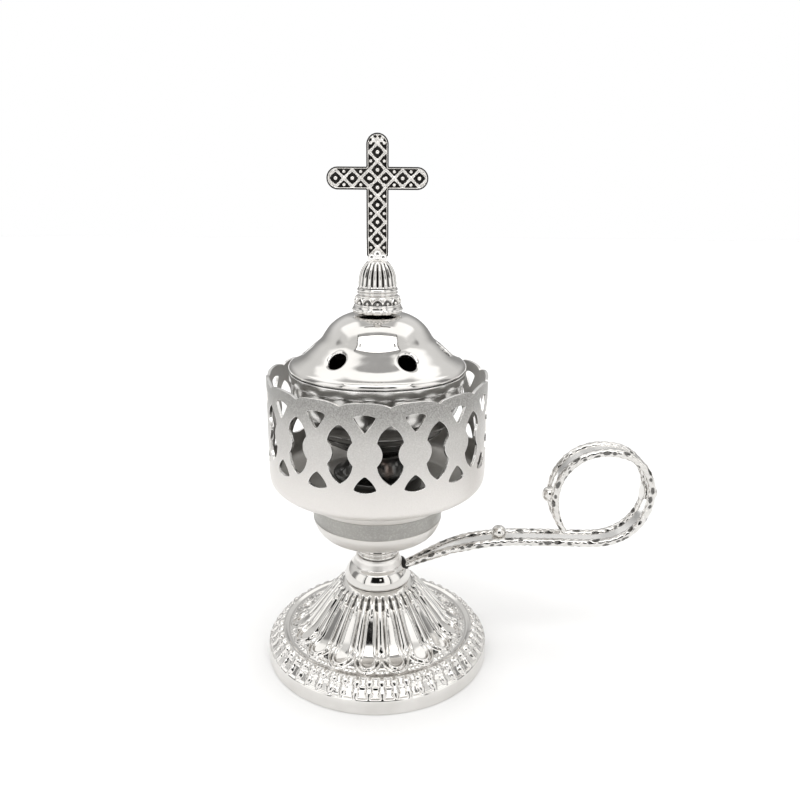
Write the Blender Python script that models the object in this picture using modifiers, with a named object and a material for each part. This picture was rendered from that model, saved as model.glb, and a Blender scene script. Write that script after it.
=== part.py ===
"""Footed table censer: openwork basket on a stamped foot, loose fire cup and
pierced lid with a cross, ribbon handle curled into a finger loop.

Frame: origin on the table plane at the middle of the foot, +Z up, the handle
points to +X, the user faces the -Y side.  Metres.
"""
import math

import bmesh
import bpy
from mathutils import Matrix, Vector

MM = 0.001

# ---- driving dimensions (metres) -------------------------------------------
GAP = 0.3 * MM                 # clearance between pieces that touch
PETALS = 18                    # embossed petals round the foot
PETAL_PHASE = -97.0            # degrees, azimuth of the front petal
PETAL_STEPS = 4                # mesh columns per petal
BASE_PLATE_RADIUS = 36.6 * MM
BASE_PLATE_THICK = 1.2 * MM

ROD_RADIUS = 1.95 * MM
BORE_RADIUS = ROD_RADIUS + GAP
SCREW_RADIUS = 1.5 * MM
SCREW_BORE = SCREW_RADIUS + GAP
NUT_ACROSS = 7.0               # millimetres across the flats

WINDOWS = 15
WINDOW_PHASE = -84.0           # degrees, azimuth of the window nearest the front
SCALLOP_STEPS = 6              # mesh columns per scallop of the basket rim

LID_HOLES = 6
LID_HOLE_RADIUS = 3.0 * MM
LID_HOLE_RING = 21.3 * MM
LID_HOLE_PHASE = -5.0          # degrees
LID_HOLE_Z = 107.7 * MM
LID_HOLE_TILT = 41.0           # degrees, square to the shoulder of the lid

SOCKET_SIZE = (8.4 * MM, 5.6 * MM, 3.2 * MM)    # takes the root of the handle
SOCKET_AT = (9.0 * MM, 0.0, 31.85 * MM)
SOCKET_TILT = -17.0            # degrees
SLOT_SIZE = (3.4 * MM, 1.8 * MM, 6.0 * MM)      # takes the tang of the cross
SLOT_AT = (0.0, 0.0, 135.4 * MM)
TANG_SIZE = (2.8 * MM, 1.2 * MM, 5.0 * MM)
TANG_AT = (0.0, 0.0, 135.6 * MM)

CROSS_THICK = 2.2 * MM
CROSS_BORDER = 0.55 * MM       # width of the raised border
CROSS_RECESS = 0.35 * MM

# ---- heights and radii of the turned pieces, millimetres ---------------------
STEP = GAP / MM
BORE = BORE_RADIUS / MM
BORE_S = SCREW_BORE / MM
ROD_R = ROD_RADIUS / MM
SCREW_R = SCREW_RADIUS / MM
ROD_BOTTOM = 19.5
ROD_TOP = 68.6
FOOT_TOP = 27.0
FOOT_CEILING = 26.0            # underside of the top of the foot
KNOB_BOTTOM = FOOT_TOP + STEP
KNOB_TOP = 36.3
COLLAR_BOTTOM = KNOB_TOP + STEP
COLLAR_TOP = 43.3
BELOW_CUP = COLLAR_TOP + STEP  # underside of the lower cup
BASKET_FLOOR = 61.0
SPACER_BOTTOM = 44.7
SPACER_TOP = BASKET_FLOOR - STEP
CUP_RIM = 101.4
LID_LIP = CUP_RIM + STEP
LID_TOP = 118.9
BASE_BOTTOM = LID_TOP + STEP
BASE_TOP = 127.2
BELL_BOTTOM = BASE_TOP + STEP
BELL_TOP = 136.3
BASKET_WALL = 35.3             # outer radius of the openwork wall
BASKET_VALLEY = 98.2
BASKET_CREST = 100.2

CROSS_HALF_BAR = 3.3
CROSS_HALF_SPAN = 15.15
CROSS_BOTTOM = BELL_TOP + STEP
CROSS_TOP = 172.6
CROSS_ARM = 159.8

RAIL = 1.15                    # radius of one rail of the handle ribbon
RAIL_SPREAD = 3.6              # middle of the ribbon to the middle of a rail
ROOT_SPREAD = 1.35             # the same where the ribbon enters the knob
ROOT_START = 3.0               # run along the ribbon where it starts to widen
ROOT_LENGTH = 24.0
BALL = 2.6                     # radius of a ball
BALL_PLACES = ((41.4, 43.2), (58.2, 57.6), (91.9, 58.0))

# ---- profiles (radius, height), millimetres, outer side first ----------------
FOOT_OUTER = (
    (11.2, FOOT_TOP), (12.4, 26.1), (13.6, 24.9), (15.3, 22.9), (17.2, 20.6), (19.0, 18.2),
    (20.8, 15.8), (22.6, 13.5), (24.4, 11.8), (26.5, 10.6), (29.2, 9.6), (30.4, 9.2),
    (32.7, 9.9), (34.0, 9.0), (36.4, 6.6), (38.0, 4.6), (38.0, 0.0),
)
FOOT_INNER = (
    (37.0, 0.0), (37.0, 4.2), (33.1, 8.1), (30.3, 7.9), (28.4, 8.4), (26.3, 9.4),
    (23.9, 10.7), (21.8, 12.5), (19.9, 14.9), (18.1, 17.3), (16.3, 19.7), (14.4, 22.0),
    (12.0, 24.6), (10.6, FOOT_CEILING),
)
KNOB_PROFILE = (
    (7.4, KNOB_TOP), (7.8, 36.0), (7.9, 35.3), (8.4, 33.6), (9.4, 32.3), (10.3, 31.0),
    (11.0, 29.4), (11.2, 28.2), (11.1, 27.6), (10.7, KNOB_BOTTOM), (BORE, KNOB_BOTTOM),
    (BORE, KNOB_TOP),
)
COLLAR_PROFILE = (
    (6.6, COLLAR_TOP), (7.4, 42.8), (7.4, 41.9), (6.6, 41.4), (7.2, 40.9), (7.2, 40.0),
    (6.5, 39.5), (7.1, 39.0), (7.1, 38.0), (6.5, 37.5), (7.0, 37.0), (6.8, COLLAR_BOTTOM),
    (BORE, COLLAR_BOTTOM), (BORE, COLLAR_TOP),
)
LOWER_CUP_PROFILE = (
    (24.0, 60.4), (22.8, 58.6), (22.0, 57.2), (21.5, 51.8), (20.7, 49.4), (19.2, 47.0),
    (16.8, 45.2), (13.0, 44.3), (8.0, BELOW_CUP), (BORE, BELOW_CUP), (BORE, 44.4),
    (8.0, 44.4), (13.0, 45.1), (16.4, 46.0), (18.6, 47.7), (20.0, 50.0), (20.7, 52.0),
    (21.2, 57.5), (23.2, 60.7),
)
W = BASKET_WALL
BASKET_PROFILE = (
    (W, 102.0), (W - 0.1, 67.2), (W - 0.4, 65.6), (W - 1.3, 64.3), (W - 2.7, 63.3),
    (30.0, 62.1), (26.5, BASKET_FLOOR), (BORE, BASKET_FLOOR), (BORE, 61.9), (26.3, 61.9),
    (29.7, 63.0), (32.2, 64.1), (33.6, 65.6), (W - 1.1, 68.0), (W - 0.9, 102.0),
)
FIRE_CUP_PROFILE = (
    (0.0, 76.6), (8.0, 76.8), (14.5, 78.6), (18.9, 81.3), (22.4, 85.6), (25.0, 89.9),
    (26.3, 94.2), (26.8, 99.2), (27.3, CUP_RIM), (28.2, CUP_RIM), (28.2, 98.6),
    (27.4, 98.0), (27.3, 94.0), (26.0, 89.5), (23.3, 85.0), (19.6, 80.7), (15.2, 77.7),
    (10.4, 75.4), (9.4, 73.0), (12.0, 68.0), (14.6, 66.2), (14.6, 62.2), (13.6, 62.2),
    (13.6, 65.2), (8.4, 72.0), (0.0, 74.6),
)
LID_PROFILE = (
    (BORE_S, LID_TOP), (8.6, 118.7), (10.6, 118.2), (13.0, 116.9), (15.0, 115.2),
    (16.5, 113.3), (18.0, 111.1), (20.0, 109.2), (22.0, 107.4), (24.0, 105.6),
    (26.0, 104.3), (27.4, 103.6), (28.4, 102.5), (28.3, LID_LIP), (26.2, LID_LIP), (26.0, 98.8),
    (25.1, 98.8), (24.4, 104.2), (21.4, 106.7), (17.4, 110.5), (14.4, 114.5),
    (12.6, 116.0), (8.4, 117.8), (BORE_S, 117.9),
)
SCREW_PROFILE = (
    (0.0, 130.4), (1.1, 130.4), (SCREW_R, 129.9), (SCREW_R, 116.3), (3.0, 116.3),
    (3.0, 115.4), (1.8, 114.4), (0.0, 114.2),
)
ROD_PROFILE = (
    (0.0, ROD_TOP), (1.5, ROD_TOP), (ROD_R, ROD_TOP - 0.5), (ROD_R, ROD_BOTTOM + 0.5),
    (1.5, ROD_BOTTOM), (0.0, ROD_BOTTOM),
)
FINIAL_BASE_PROFILE = (
    (5.9, BASE_TOP), (6.3, 126.9), (6.3, 125.4), (5.9, 125.0), (6.9, 124.4), (7.1, 123.2),
    (6.9, 122.3), (7.5, 121.7), (7.8, 120.7), (7.3, 119.7), (6.2, BASE_BOTTOM),
    (BORE_S, BASE_BOTTOM), (BORE_S, BASE_TOP),
)
BELL_PROFILE = (
    (0.0, BELL_TOP), (1.6, 136.0), (2.9, 134.7), (4.3, 132.6), (5.3, 130.4), (5.8, 128.6),
    (5.8, BELL_BOTTOM), (BORE_S, BELL_BOTTOM), (BORE_S, 131.0), (0.0, 131.0),
)
WINDOW_HALF = (                # (degrees from the middle, height)
    (0.0, 93.6), (3.2, 91.5), (6.2, 88.2), (4.4, 86.1),
    (4.0, 85.0), (4.6, 83.6), (6.3, 81.3), (3.6, 77.9), (0.0, 75.5),
)
UPPER_TRIANGLE = ((-5.4, 96.0), (0.0, 96.7), (5.4, 96.0), (0.0, 91.2))
LOWER_TRIANGLE = ((-5.5, 73.7), (0.0, 78.2), (5.5, 73.7), (0.0, 73.0))
HANDLE_PATH = (                # (x, height) of the middle of the ribbon
    (6.2, 31.0), (9.5, 31.9), (13.0, 33.4), (18.0, 35.7), (24.5, 38.4),
    (31.2, 40.2), (38.0, 41.3), (45.0, 41.8), (52.0, 41.7), (60.0, 41.5),
    (68.0, 41.2), (75.0, 41.2), (80.5, 42.3), (85.6, 45.3), (89.4, 50.2),
    (91.2, 56.4), (90.8, 62.6), (88.0, 68.2), (83.6, 71.9), (78.4, 73.5),
    (72.6, 73.5), (67.3, 71.7), (62.9, 68.0), (60.1, 63.2), (59.1, 57.8),
    (59.7, 52.6), (61.3, 48.2), (63.4, 44.5),
)

# ---- scene set-up -----------------------------------------------------------
for old in list(bpy.data.objects):
    bpy.data.objects.remove(old, do_unlink=True)

scene = bpy.context.scene
PART = bpy.data.collections.new("table_censer")
CUTTERS = bpy.data.collections.new("cutters")
scene.collection.children.link(PART)
scene.collection.children.link(CUTTERS)


def material(name, colour, metallic, rough):
    mat = bpy.data.materials.new(name)
    mat.use_nodes = True
    mat.diffuse_color = (*colour, 1.0)
    bsdf = mat.node_tree.nodes["Principled BSDF"]
    bsdf.inputs["Base Color"].default_value = (*colour, 1.0)
    bsdf.inputs["Metallic"].default_value = metallic
    bsdf.inputs["Roughness"].default_value = rough
    return mat


def add(name, mesh, mat, home=None):
    """Put a mesh in the scene as one named piece."""
    obj = bpy.data.objects.new(name, mesh)
    (home or PART).objects.link(obj)
    if mat is not None:
        mesh.materials.append(mat)
    for poly in mesh.polygons:
        poly.use_smooth = True
    return obj


def as_cutter(obj):
    obj.hide_render = True
    obj.display_type = 'WIRE'
    return obj


def turned(name, profile_mm, steps, mat, home=None, closed=True):
    """Profile of (radius, height) in millimetres turned about Z.

    The profile runs down its outer side.  A closed profile makes a ring, an
    open one starts and ends on the axis.
    """
    mesh = bpy.data.meshes.new(name)
    verts = [(r * MM, 0.0, z * MM) for r, z in profile_mm]
    edges = [(i, i + 1) for i in range(len(verts) - 1)]
    if closed:
        edges.append((len(verts) - 1, 0))
    mesh.from_pydata(verts, edges, [])
    obj = add(name, mesh, mat, home)
    mod = obj.modifiers.new("turn", 'SCREW')
    mod.axis = 'Z'
    mod.angle = math.tau
    mod.steps = steps
    mod.render_steps = steps
    mod.use_merge_vertices = True
    mod.merge_threshold = 0.00001
    mod.use_smooth_shade = True
    return obj


def loop_skin(name, rings, mat, home=None):
    """Closed skin over a list of rings of points, flat caps at both ends."""
    bm = bmesh.new()
    grid = [[bm.verts.new(p) for p in ring] for ring in rings]
    count = len(grid[0])
    for a, b in zip(grid, grid[1:]):
        for i in range(count):
            j = (i + 1) % count
            bm.faces.new((a[i], a[j], b[j], b[i]))
    bm.faces.new(list(reversed(grid[0])))
    bm.faces.new(grid[-1])
    bmesh.ops.recalc_face_normals(bm, faces=bm.faces)
    mesh = bpy.data.meshes.new(name)
    bm.to_mesh(mesh)
    bm.free()
    return add(name, mesh, mat, home)


def prism(bm, near, far):
    """Closed prism between two outlines of the same length."""
    a = [bm.verts.new(p) for p in near]
    b = [bm.verts.new(p) for p in far]
    n = len(a)
    faces = [bm.faces.new(a), bm.faces.new(list(reversed(b)))]
    for i in range(n):
        j = (i + 1) % n
        faces.append(bm.faces.new((a[j], a[i], b[i], b[j])))
    bmesh.ops.recalc_face_normals(bm, faces=faces)


def from_bmesh(name, bm, mat, home=None):
    mesh = bpy.data.meshes.new(name)
    bm.to_mesh(mesh)
    bm.free()
    obj = add(name, mesh, mat, home)
    mesh.set_sharp_from_angle(angle=math.radians(35.0))
    return obj


def boolean(obj, cutter, operation):
    mod = obj.modifiers.new(operation.lower(), 'BOOLEAN')
    mod.operation = operation
    mod.solver = 'EXACT'
    mod.object = cutter
    return mod


# ---- materials --------------------------------------------------------------
CHROME = material("polished_chrome", (0.80, 0.81, 0.82), 1.0, 0.08)
SATIN = material("satin_silver", (0.72, 0.72, 0.71), 1.0, 0.34)
ANTIQUE = material("antique_silver", (0.52, 0.52, 0.51), 1.0, 0.30)
SOOT = material("dark_spun_steel", (0.16, 0.16, 0.17), 1.0, 0.22)
ZINC = material("zinc_fastener", (0.62, 0.63, 0.64), 1.0, 0.30)
FIBRE = material("black_fibre", (0.03, 0.03, 0.03), 0.0, 0.85)

# ---- foot ---------------------------------------------------------------------
def petal_lift(radius, turn):
    """Outward swell of the embossed petals over the foot shell, millimetres."""
    first, last, height = 13.0, 29.2, 0.55
    reach = (radius - first) / (last - first)
    if reach <= 0.0 or reach >= 1.0:
        return 0.0
    return height * math.sin(math.pi * reach) ** 0.6 * math.cos(PETALS * turn)


def foot_shell():
    steps = PETALS * PETAL_STEPS
    outer = [(BORE, FOOT_TOP)] + list(FOOT_OUTER)
    inner = list(FOOT_INNER) + [(BORE, FOOT_CEILING)]
    bm = bmesh.new()
    grid = []
    for k, (r, z) in enumerate(outer + inner):
        row = []
        for s in range(steps):
            turn = math.tau * s / steps
            ang = turn + math.radians(PETAL_PHASE)
            rr = r + (petal_lift(r, turn) if k < len(outer) else 0.0)
            row.append(bm.verts.new((rr * MM * math.cos(ang), rr * MM * math.sin(ang), z * MM)))
        grid.append(row)
    for a, b in zip(grid, grid[1:] + grid[:1]):
        for s in range(steps):
            t = (s + 1) % steps
            bm.faces.new((a[s], b[s], b[t], a[t]))
    bmesh.ops.recalc_face_normals(bm, faces=bm.faces)
    return from_bmesh("foot", bm, CHROME)


foot = foot_shell()

plate = bmesh.new()
bmesh.ops.create_cone(plate, cap_ends=True, cap_tris=False, segments=48,
                      radius1=BASE_PLATE_RADIUS, radius2=BASE_PLATE_RADIUS,
                      depth=BASE_PLATE_THICK,
                      matrix=Matrix.Translation((0.0, 0.0, BASE_PLATE_THICK / 2)))
base_plate = from_bmesh("base_plate", plate, FIBRE)


# ---- fasteners and rod -----------------------------------------------------------
def washer(name, z0, z1, outer, bore, mat):
    return turned(name, ((outer, z1), (outer, z0), (bore, z0), (bore, z1)), 20, mat)


def hex_nut(name, z0, z1, across, bore, mat):
    """Hexagon bar piece with a round bore, made as a cut primitive."""
    middle = Matrix.Translation((0.0, 0.0, (z0 + z1) / 2 * MM))
    bar = bmesh.new()
    bmesh.ops.create_cone(bar, cap_ends=True, segments=6, radius1=across / math.sqrt(3.0) * MM,
                          radius2=across / math.sqrt(3.0) * MM, depth=(z1 - z0) * MM, matrix=middle)
    nut = from_bmesh(name, bar, mat)
    drill = bmesh.new()
    bmesh.ops.create_cone(drill, cap_ends=True, segments=16, radius1=bore * MM,
                          radius2=bore * MM, depth=(z1 - z0 + 2.0) * MM, matrix=middle)
    boolean(nut, as_cutter(from_bmesh("cut_" + name, drill, None, CUTTERS)), 'DIFFERENCE')
    return nut


def cut_box(name, at, size, tilt=0.0):
    """Box used by a boolean, turned about Y by a tilt in degrees."""
    bm = bmesh.new()
    bmesh.ops.create_cube(bm, size=1.0, matrix=Matrix.Translation(at) @
                          Matrix.Rotation(math.radians(tilt), 4, 'Y') @
                          Matrix.Diagonal((*size, 1.0)))
    return as_cutter(from_bmesh(name, bm, None, CUTTERS))


foot_washer = washer("foot_washer", 24.7, FOOT_CEILING - STEP, 5.2, BORE, ZINC)
foot_nut = hex_nut("foot_nut", 21.2, 24.4, NUT_ACROSS, BORE, ZINC)
tie_rod = turned("tie_rod", ROD_PROFILE, 16, ZINC, closed=False)

# ---- stem -----------------------------------------------------------------------
stem_knob = turned("stem_knob", KNOB_PROFILE, 36, CHROME)
boolean(stem_knob, cut_box("cut_handle_socket", SOCKET_AT, SOCKET_SIZE, SOCKET_TILT),
        'DIFFERENCE')
neck_collar = turned("neck_collar", COLLAR_PROFILE, 24, CHROME)
lower_cup = turned("lower_cup", LOWER_CUP_PROFILE, 32, SATIN)
spacer_tube = turned("spacer_tube", (
    (4.0, SPACER_TOP), (4.0, SPACER_BOTTOM), (BORE, SPACER_BOTTOM), (BORE, SPACER_TOP)),
    16, ZINC)

# ---- basket ---------------------------------------------------------------------
basket = turned("basket", BASKET_PROFILE, 45, SATIN)


def around(angle, radius, z):
    a = math.radians(angle)
    return Vector((radius * MM * math.cos(a), radius * MM * math.sin(a), z * MM))


pierce = bmesh.new()
window = list(WINDOW_HALF) + [(-a, z) for a, z in reversed(WINDOW_HALF[1:-1])]
for k in range(WINDOWS):
    mid = WINDOW_PHASE + 360.0 * k / WINDOWS
    between = mid + 180.0 / WINDOWS
    for centre, outline in ((mid, window), (between, UPPER_TRIANGLE), (between, LOWER_TRIANGLE)):
        near = [around(centre + a, W - 5.0, z) for a, z in outline]
        far = [around(centre + a, W + 5.0, z) for a, z in outline]
        prism(pierce, near, far)
boolean(basket, as_cutter(from_bmesh("cut_basket_openings", pierce, None, CUTTERS)), 'DIFFERENCE')


def scallop_ring():
    """Ring that cuts the basket rim into one scallop between each two windows."""
    steps = WINDOWS * SCALLOP_STEPS
    bm = bmesh.new()
    rows = []
    for radius, top in ((W - 4.0, False), (W - 4.0, True), (W + 6.0, True), (W + 6.0, False)):
        row = []
        for s in range(steps):
            share = (s % SCALLOP_STEPS) / SCALLOP_STEPS      # 0 at a valley, 0.5 at a crest
            rise = math.sqrt(1.0 - (2.0 * share - 1.0) ** 2)
            low = BASKET_VALLEY + (BASKET_CREST - BASKET_VALLEY) * rise
            height = 108.0 if top else low
            row.append(bm.verts.new(around(WINDOW_PHASE + 360.0 * s / steps, radius, height)))
        rows.append(row)
    for a, b in zip(rows, rows[1:] + rows[:1]):
        for s in range(steps):
            t = (s + 1) % steps
            bm.faces.new((a[s], b[s], b[t], a[t]))
    bmesh.ops.recalc_face_normals(bm, faces=bm.faces)
    return as_cutter(from_bmesh("cut_basket_scallops", bm, None, CUTTERS))


boolean(basket, scallop_ring(), 'DIFFERENCE')

basket_washer = washer("basket_washer", 62.2, 63.2, 6.5, BORE, ZINC)
basket_nut = hex_nut("basket_nut", 63.5, 66.7, NUT_ACROSS, BORE, ZINC)

# ---- fire cup and lid -------------------------------------------------------------
fire_cup = turned("fire_cup", FIRE_CUP_PROFILE, 32, SOOT, closed=False)
lid = turned("lid", LID_PROFILE, 42, CHROME)
holes = bmesh.new()
for k in range(LID_HOLES):
    place = (Matrix.Rotation(math.radians(LID_HOLE_PHASE + 360.0 * k / LID_HOLES), 4, 'Z') @
             Matrix.Translation((LID_HOLE_RING, 0.0, LID_HOLE_Z)) @
             Matrix.Rotation(math.radians(LID_HOLE_TILT), 4, 'Y'))
    bmesh.ops.create_cone(holes, cap_ends=True, cap_tris=False, segments=12,
                          radius1=LID_HOLE_RADIUS, radius2=LID_HOLE_RADIUS, depth=7.0 * MM,
                          matrix=place)
boolean(lid, as_cutter(from_bmesh("cut_lid_holes", holes, None, CUTTERS)), 'DIFFERENCE')
lid_washer = washer("lid_washer", 116.6, 117.6, 4.2, BORE_S, ZINC)
lid_screw = turned("lid_screw", SCREW_PROFILE, 16, ZINC, closed=False)

# ---- finial -------------------------------------------------------------------------
finial_base = turned("finial_base", FINIAL_BASE_PROFILE, 24, CHROME)
finial_bell = turned("finial_bell", BELL_PROFILE, 24, CHROME, closed=False)
boolean(finial_bell, cut_box("cut_cross_slot", SLOT_AT, SLOT_SIZE), 'DIFFERENCE')


def cross_outline():
    """Outline of the cross with round ends, anticlockwise, millimetres."""
    b = CROSS_HALF_BAR
    arm, reach = CROSS_ARM, CROSS_HALF_SPAN
    top, low = CROSS_TOP, CROSS_BOTTOM
    pts = []

    def end(cx, cz, start):
        for i in range(7):
            t = math.radians(start + 30.0 * i)
            pts.append((cx + b * math.cos(t), cz + b * math.sin(t)))

    end(0.0, low + b, 180.0)
    pts.append((b, arm - b))
    end(reach - b, arm, -90.0)
    pts.append((b, arm + b))
    end(0.0, top - b, 0.0)
    pts.append((-b, arm + b))
    end(b - reach, arm, 90.0)
    pts.append((-b, arm - b))
    return pts


def cross_body():
    bm = bmesh.new()
    half = CROSS_THICK / 2
    outline = cross_outline()
    front = [bm.verts.new((x * MM, -half, z * MM)) for x, z in outline]
    back = [bm.verts.new((x * MM, half, z * MM)) for x, z in outline]
    n = len(front)
    f_face = bm.faces.new(front)
    b_face = bm.faces.new(list(reversed(back)))
    for i in range(n):
        j = (i + 1) % n
        bm.faces.new((front[j], front[i], back[i], back[j]))
    bmesh.ops.recalc_face_normals(bm, faces=bm.faces)
    bmesh.ops.inset_region(bm, faces=[f_face, b_face], thickness=CROSS_BORDER, depth=0.0)
    for face, way in ((f_face, 1.0), (b_face, -1.0)):
        for vert in face.verts:
            vert.co.y += way * CROSS_RECESS
    bmesh.ops.recalc_face_normals(bm, faces=bm.faces)
    return from_bmesh("cross", bm, ANTIQUE)


cross = cross_body()
boolean(cross, cut_box("add_cross_tang", TANG_AT, TANG_SIZE), 'UNION')


# ---- handle --------------------------------------------------------------------------
def smooth_path(points, per_span):
    """Centripetal-like cubic through the points, even steps in each span."""
    pts = [Vector((x, z)) for x, z in points]
    pts = [pts[0] * 2 - pts[1]] + pts + [pts[-1] * 2 - pts[-2]]
    out = []
    for i in range(1, len(pts) - 2):
        p0, p1, p2, p3 = pts[i - 1:i + 3]
        for s in range(per_span):
            t = s / per_span
            out.append(0.5 * ((2 * p1) + (p2 - p0) * t + (2 * p0 - 5 * p1 + 4 * p2 - p3) * t * t +
                              (3 * p1 - p0 - 3 * p2 + p3) * t * t * t))
    out.append(pts[-2])
    return out


def handle_rings():
    path = smooth_path(HANDLE_PATH, 2)
    rings = []
    run = 0.0
    for i, p in enumerate(path):
        ahead = path[min(i + 1, len(path) - 1)]
        behind = path[max(i - 1, 0)]
        run += (p - path[i - 1]).length if i else 0.0
        along = (ahead - behind).normalized()
        normal = Vector((-along.y, along.x))
        share = min(1.0, max(0.0, (run - ROOT_START) / ROOT_LENGTH))
        spread = ROOT_SPREAD + (RAIL_SPREAD - ROOT_SPREAD) * (share * share * (3 - 2 * share))
        ring = []
        for side in (1.0, -1.0):
            for deg in (-155.0, -93.0, -31.0, 31.0, 93.0, 155.0):
                a = math.radians(deg)
                lateral = side * (spread + RAIL * math.cos(a))
                lift = side * RAIL * math.sin(a)
                ring.append(Vector(((p.x + normal.x * lift) * MM, lateral * MM,
                                    (p.y + normal.y * lift) * MM)))
        rings.append(ring)
    return rings


handle = loop_skin("handle", handle_rings(), CHROME)
balls = bmesh.new()
for x, z in BALL_PLACES:
    bmesh.ops.create_icosphere(balls, subdivisions=2, radius=BALL * MM,
                               matrix=Matrix.Translation((x * MM, 0.0, z * MM)))
boolean(handle, as_cutter(from_bmesh("add_handle_balls", balls, None, CUTTERS)), 'UNION')
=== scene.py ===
"""Looks of the footed table censer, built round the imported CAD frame.

Lengths are millimetres until a mesh is made; MM turns them into metres.
Azimuths are degrees from the front (-Y), positive towards the handle (+X).
"""
import math

import bmesh
import bpy
import numpy as np
from mathutils import Matrix, Vector
from mathutils.geometry import delaunay_2d_cdt


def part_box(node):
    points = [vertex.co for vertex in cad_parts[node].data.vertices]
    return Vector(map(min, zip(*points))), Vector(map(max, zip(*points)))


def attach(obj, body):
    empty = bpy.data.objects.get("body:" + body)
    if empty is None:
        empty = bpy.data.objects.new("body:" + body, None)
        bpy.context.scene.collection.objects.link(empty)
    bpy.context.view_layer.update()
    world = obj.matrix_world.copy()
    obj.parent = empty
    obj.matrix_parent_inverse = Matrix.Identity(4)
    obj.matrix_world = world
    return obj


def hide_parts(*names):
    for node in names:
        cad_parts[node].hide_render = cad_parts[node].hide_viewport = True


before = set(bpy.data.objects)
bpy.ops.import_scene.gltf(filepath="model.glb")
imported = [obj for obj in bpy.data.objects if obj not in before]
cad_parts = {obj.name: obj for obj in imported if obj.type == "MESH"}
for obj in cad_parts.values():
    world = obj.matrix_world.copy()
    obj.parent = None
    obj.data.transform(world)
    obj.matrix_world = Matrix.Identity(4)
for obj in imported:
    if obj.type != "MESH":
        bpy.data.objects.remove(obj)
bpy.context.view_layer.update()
MM = 0.001
DEGREE = math.radians(1.0)
ROD_BORE = 2.25                # of the nuts, washers and tube on the tie rod
BORE = 2.3                     # of the turned pieces on the tie rod
COLUMNS = 240                  # round the plain turned pieces
rng = np.random.default_rng(7)


# ---- numbers and curves ----
def node_span(node):
    """Lowest and highest height of a CAD node, and its outer radius."""
    low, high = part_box(node)
    return low.z / MM, high.z / MM, (high.y - low.y) / 2 / MM


def smoothstep(x, low, high):
    t = np.clip((np.asarray(x, float) - low) / (high - low), 0.0, 1.0)
    return t * t * (3.0 - 2.0 * t)


def window(x, low, high, soft):
    """1 between low and high, falling to 0 over soft at both ends."""
    return smoothstep(x, low - soft, low) * (1.0 - smoothstep(x, high, high + soft))


def bead(distance, width, height):
    """Round-topped ridge over the distance from its middle line."""
    return height * np.sqrt(np.clip(1.0 - (distance / width) ** 2, 0.0, 1.0))


def ridge(distance, width, height):
    """Soft ridge over the distance from its middle line."""
    return height * np.exp(-(distance / width) ** 2)


def pairs(x, y):
    """Points (x, y) from two lists, either of which may be one number."""
    return np.stack(np.broadcast_arrays(x, y), -1)


def smooth_curve(points, per_span=8):
    """Catmull-Rom curve through the points."""
    p = np.array(points, float)
    p = np.vstack([2 * p[0] - p[1], p, 2 * p[-1] - p[-2]])
    t = np.linspace(0.0, 1.0, per_span, endpoint=False)[:, None]
    out = []
    for a, b, c, d in zip(p, p[1:], p[2:], p[3:]):
        out.append(0.5 * (2 * b + (c - a) * t + (2 * a - 5 * b + 4 * c - d) * t ** 2
                          + (3 * b - a - 3 * c + d) * t ** 3))
    return np.vstack(out + [p[-2:-1]])


def filleted(points, closed=False, steps=4):
    """Polyline whose corners (x, y, radius) are rounded with arcs."""
    pts = [np.array(p[:2], float) for p in points]
    radii = [p[2] if len(p) > 2 else 0.0 for p in points]
    out = []
    for i, (p, radius) in enumerate(zip(pts, radii)):
        if radius == 0.0 or (not closed and i in (0, len(pts) - 1)):
            out.append(p)
            continue
        before, after = pts[i - 1] - p, pts[(i + 1) % len(pts)] - p
        la, lb = np.linalg.norm(before), np.linalg.norm(after)
        cut = min(radius, 0.45 * la, 0.45 * lb)
        a, b = p + before / la * cut, p + after / lb * cut
        for t in np.linspace(0.0, 1.0, steps + 1):
            out.append((1 - t) ** 2 * a + 2 * t * (1 - t) * p + t ** 2 * b)
    return np.array(out)


def arc(a, b, bulge, steps):
    """Points from a to b, without b, bowed sideways by bulge (positive is to the left)."""
    a, b = np.array(a, float), np.array(b, float)
    side = np.array([a[1] - b[1], b[0] - a[0]]) / np.linalg.norm(b - a)
    t = np.linspace(0.0, 1.0, steps, endpoint=False)[:, None]
    return a + (b - a) * t + side * bulge * 4 * t * (1 - t)


def run_along(points):
    """Length of a polyline from its start to each point."""
    p = np.array(points, float)
    return np.concatenate([[0.0], np.cumsum(np.linalg.norm(np.diff(p, axis=0), axis=1))])


def spaced(points, gap):
    """The same polyline with points about one gap apart."""
    p = np.array(points, float)
    run = run_along(p)
    at = np.linspace(0.0, run[-1], max(2, int(round(run[-1] / gap)) + 1))
    return np.stack([np.interp(at, run, p[:, k]) for k in range(p.shape[1])], axis=1)


def normals(path):
    """Unit normals of a flat path, on the left of its run."""
    along = np.gradient(path, axis=0)
    along /= np.maximum(np.linalg.norm(along, axis=1, keepdims=True), 1e-9)
    return np.stack([-along[:, 1], along[:, 0]], axis=1)


def path_distance(x, y, path):
    """Distance from each point (x, y) to a polyline."""
    best = np.full(np.shape(x), 1e9)
    for (ax, ay), (bx, by) in zip(path[:-1], path[1:]):
        dx, dy = bx - ax, by - ay
        t = np.clip(((x - ax) * dx + (y - ay) * dy) / (dx * dx + dy * dy), 0.0, 1.0)
        best = np.minimum(best, np.hypot(x - ax - t * dx, y - ay - t * dy))
    return best


def turn_angles(columns):
    return np.linspace(0.0, math.tau, columns, endpoint=False)


def swing(radius, angle, height):
    """Points at a radius, an angle from +X and a height."""
    return np.stack(np.broadcast_arrays(radius * np.cos(angle), radius * np.sin(angle), height), -1)


# ---- meshes ----
def place_mesh(name, mesh, mats):
    for mat in mats:
        mesh.materials.append(mat)
    obj = bpy.data.objects.new(name, mesh)
    bpy.context.scene.collection.objects.link(obj)
    return obj


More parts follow.
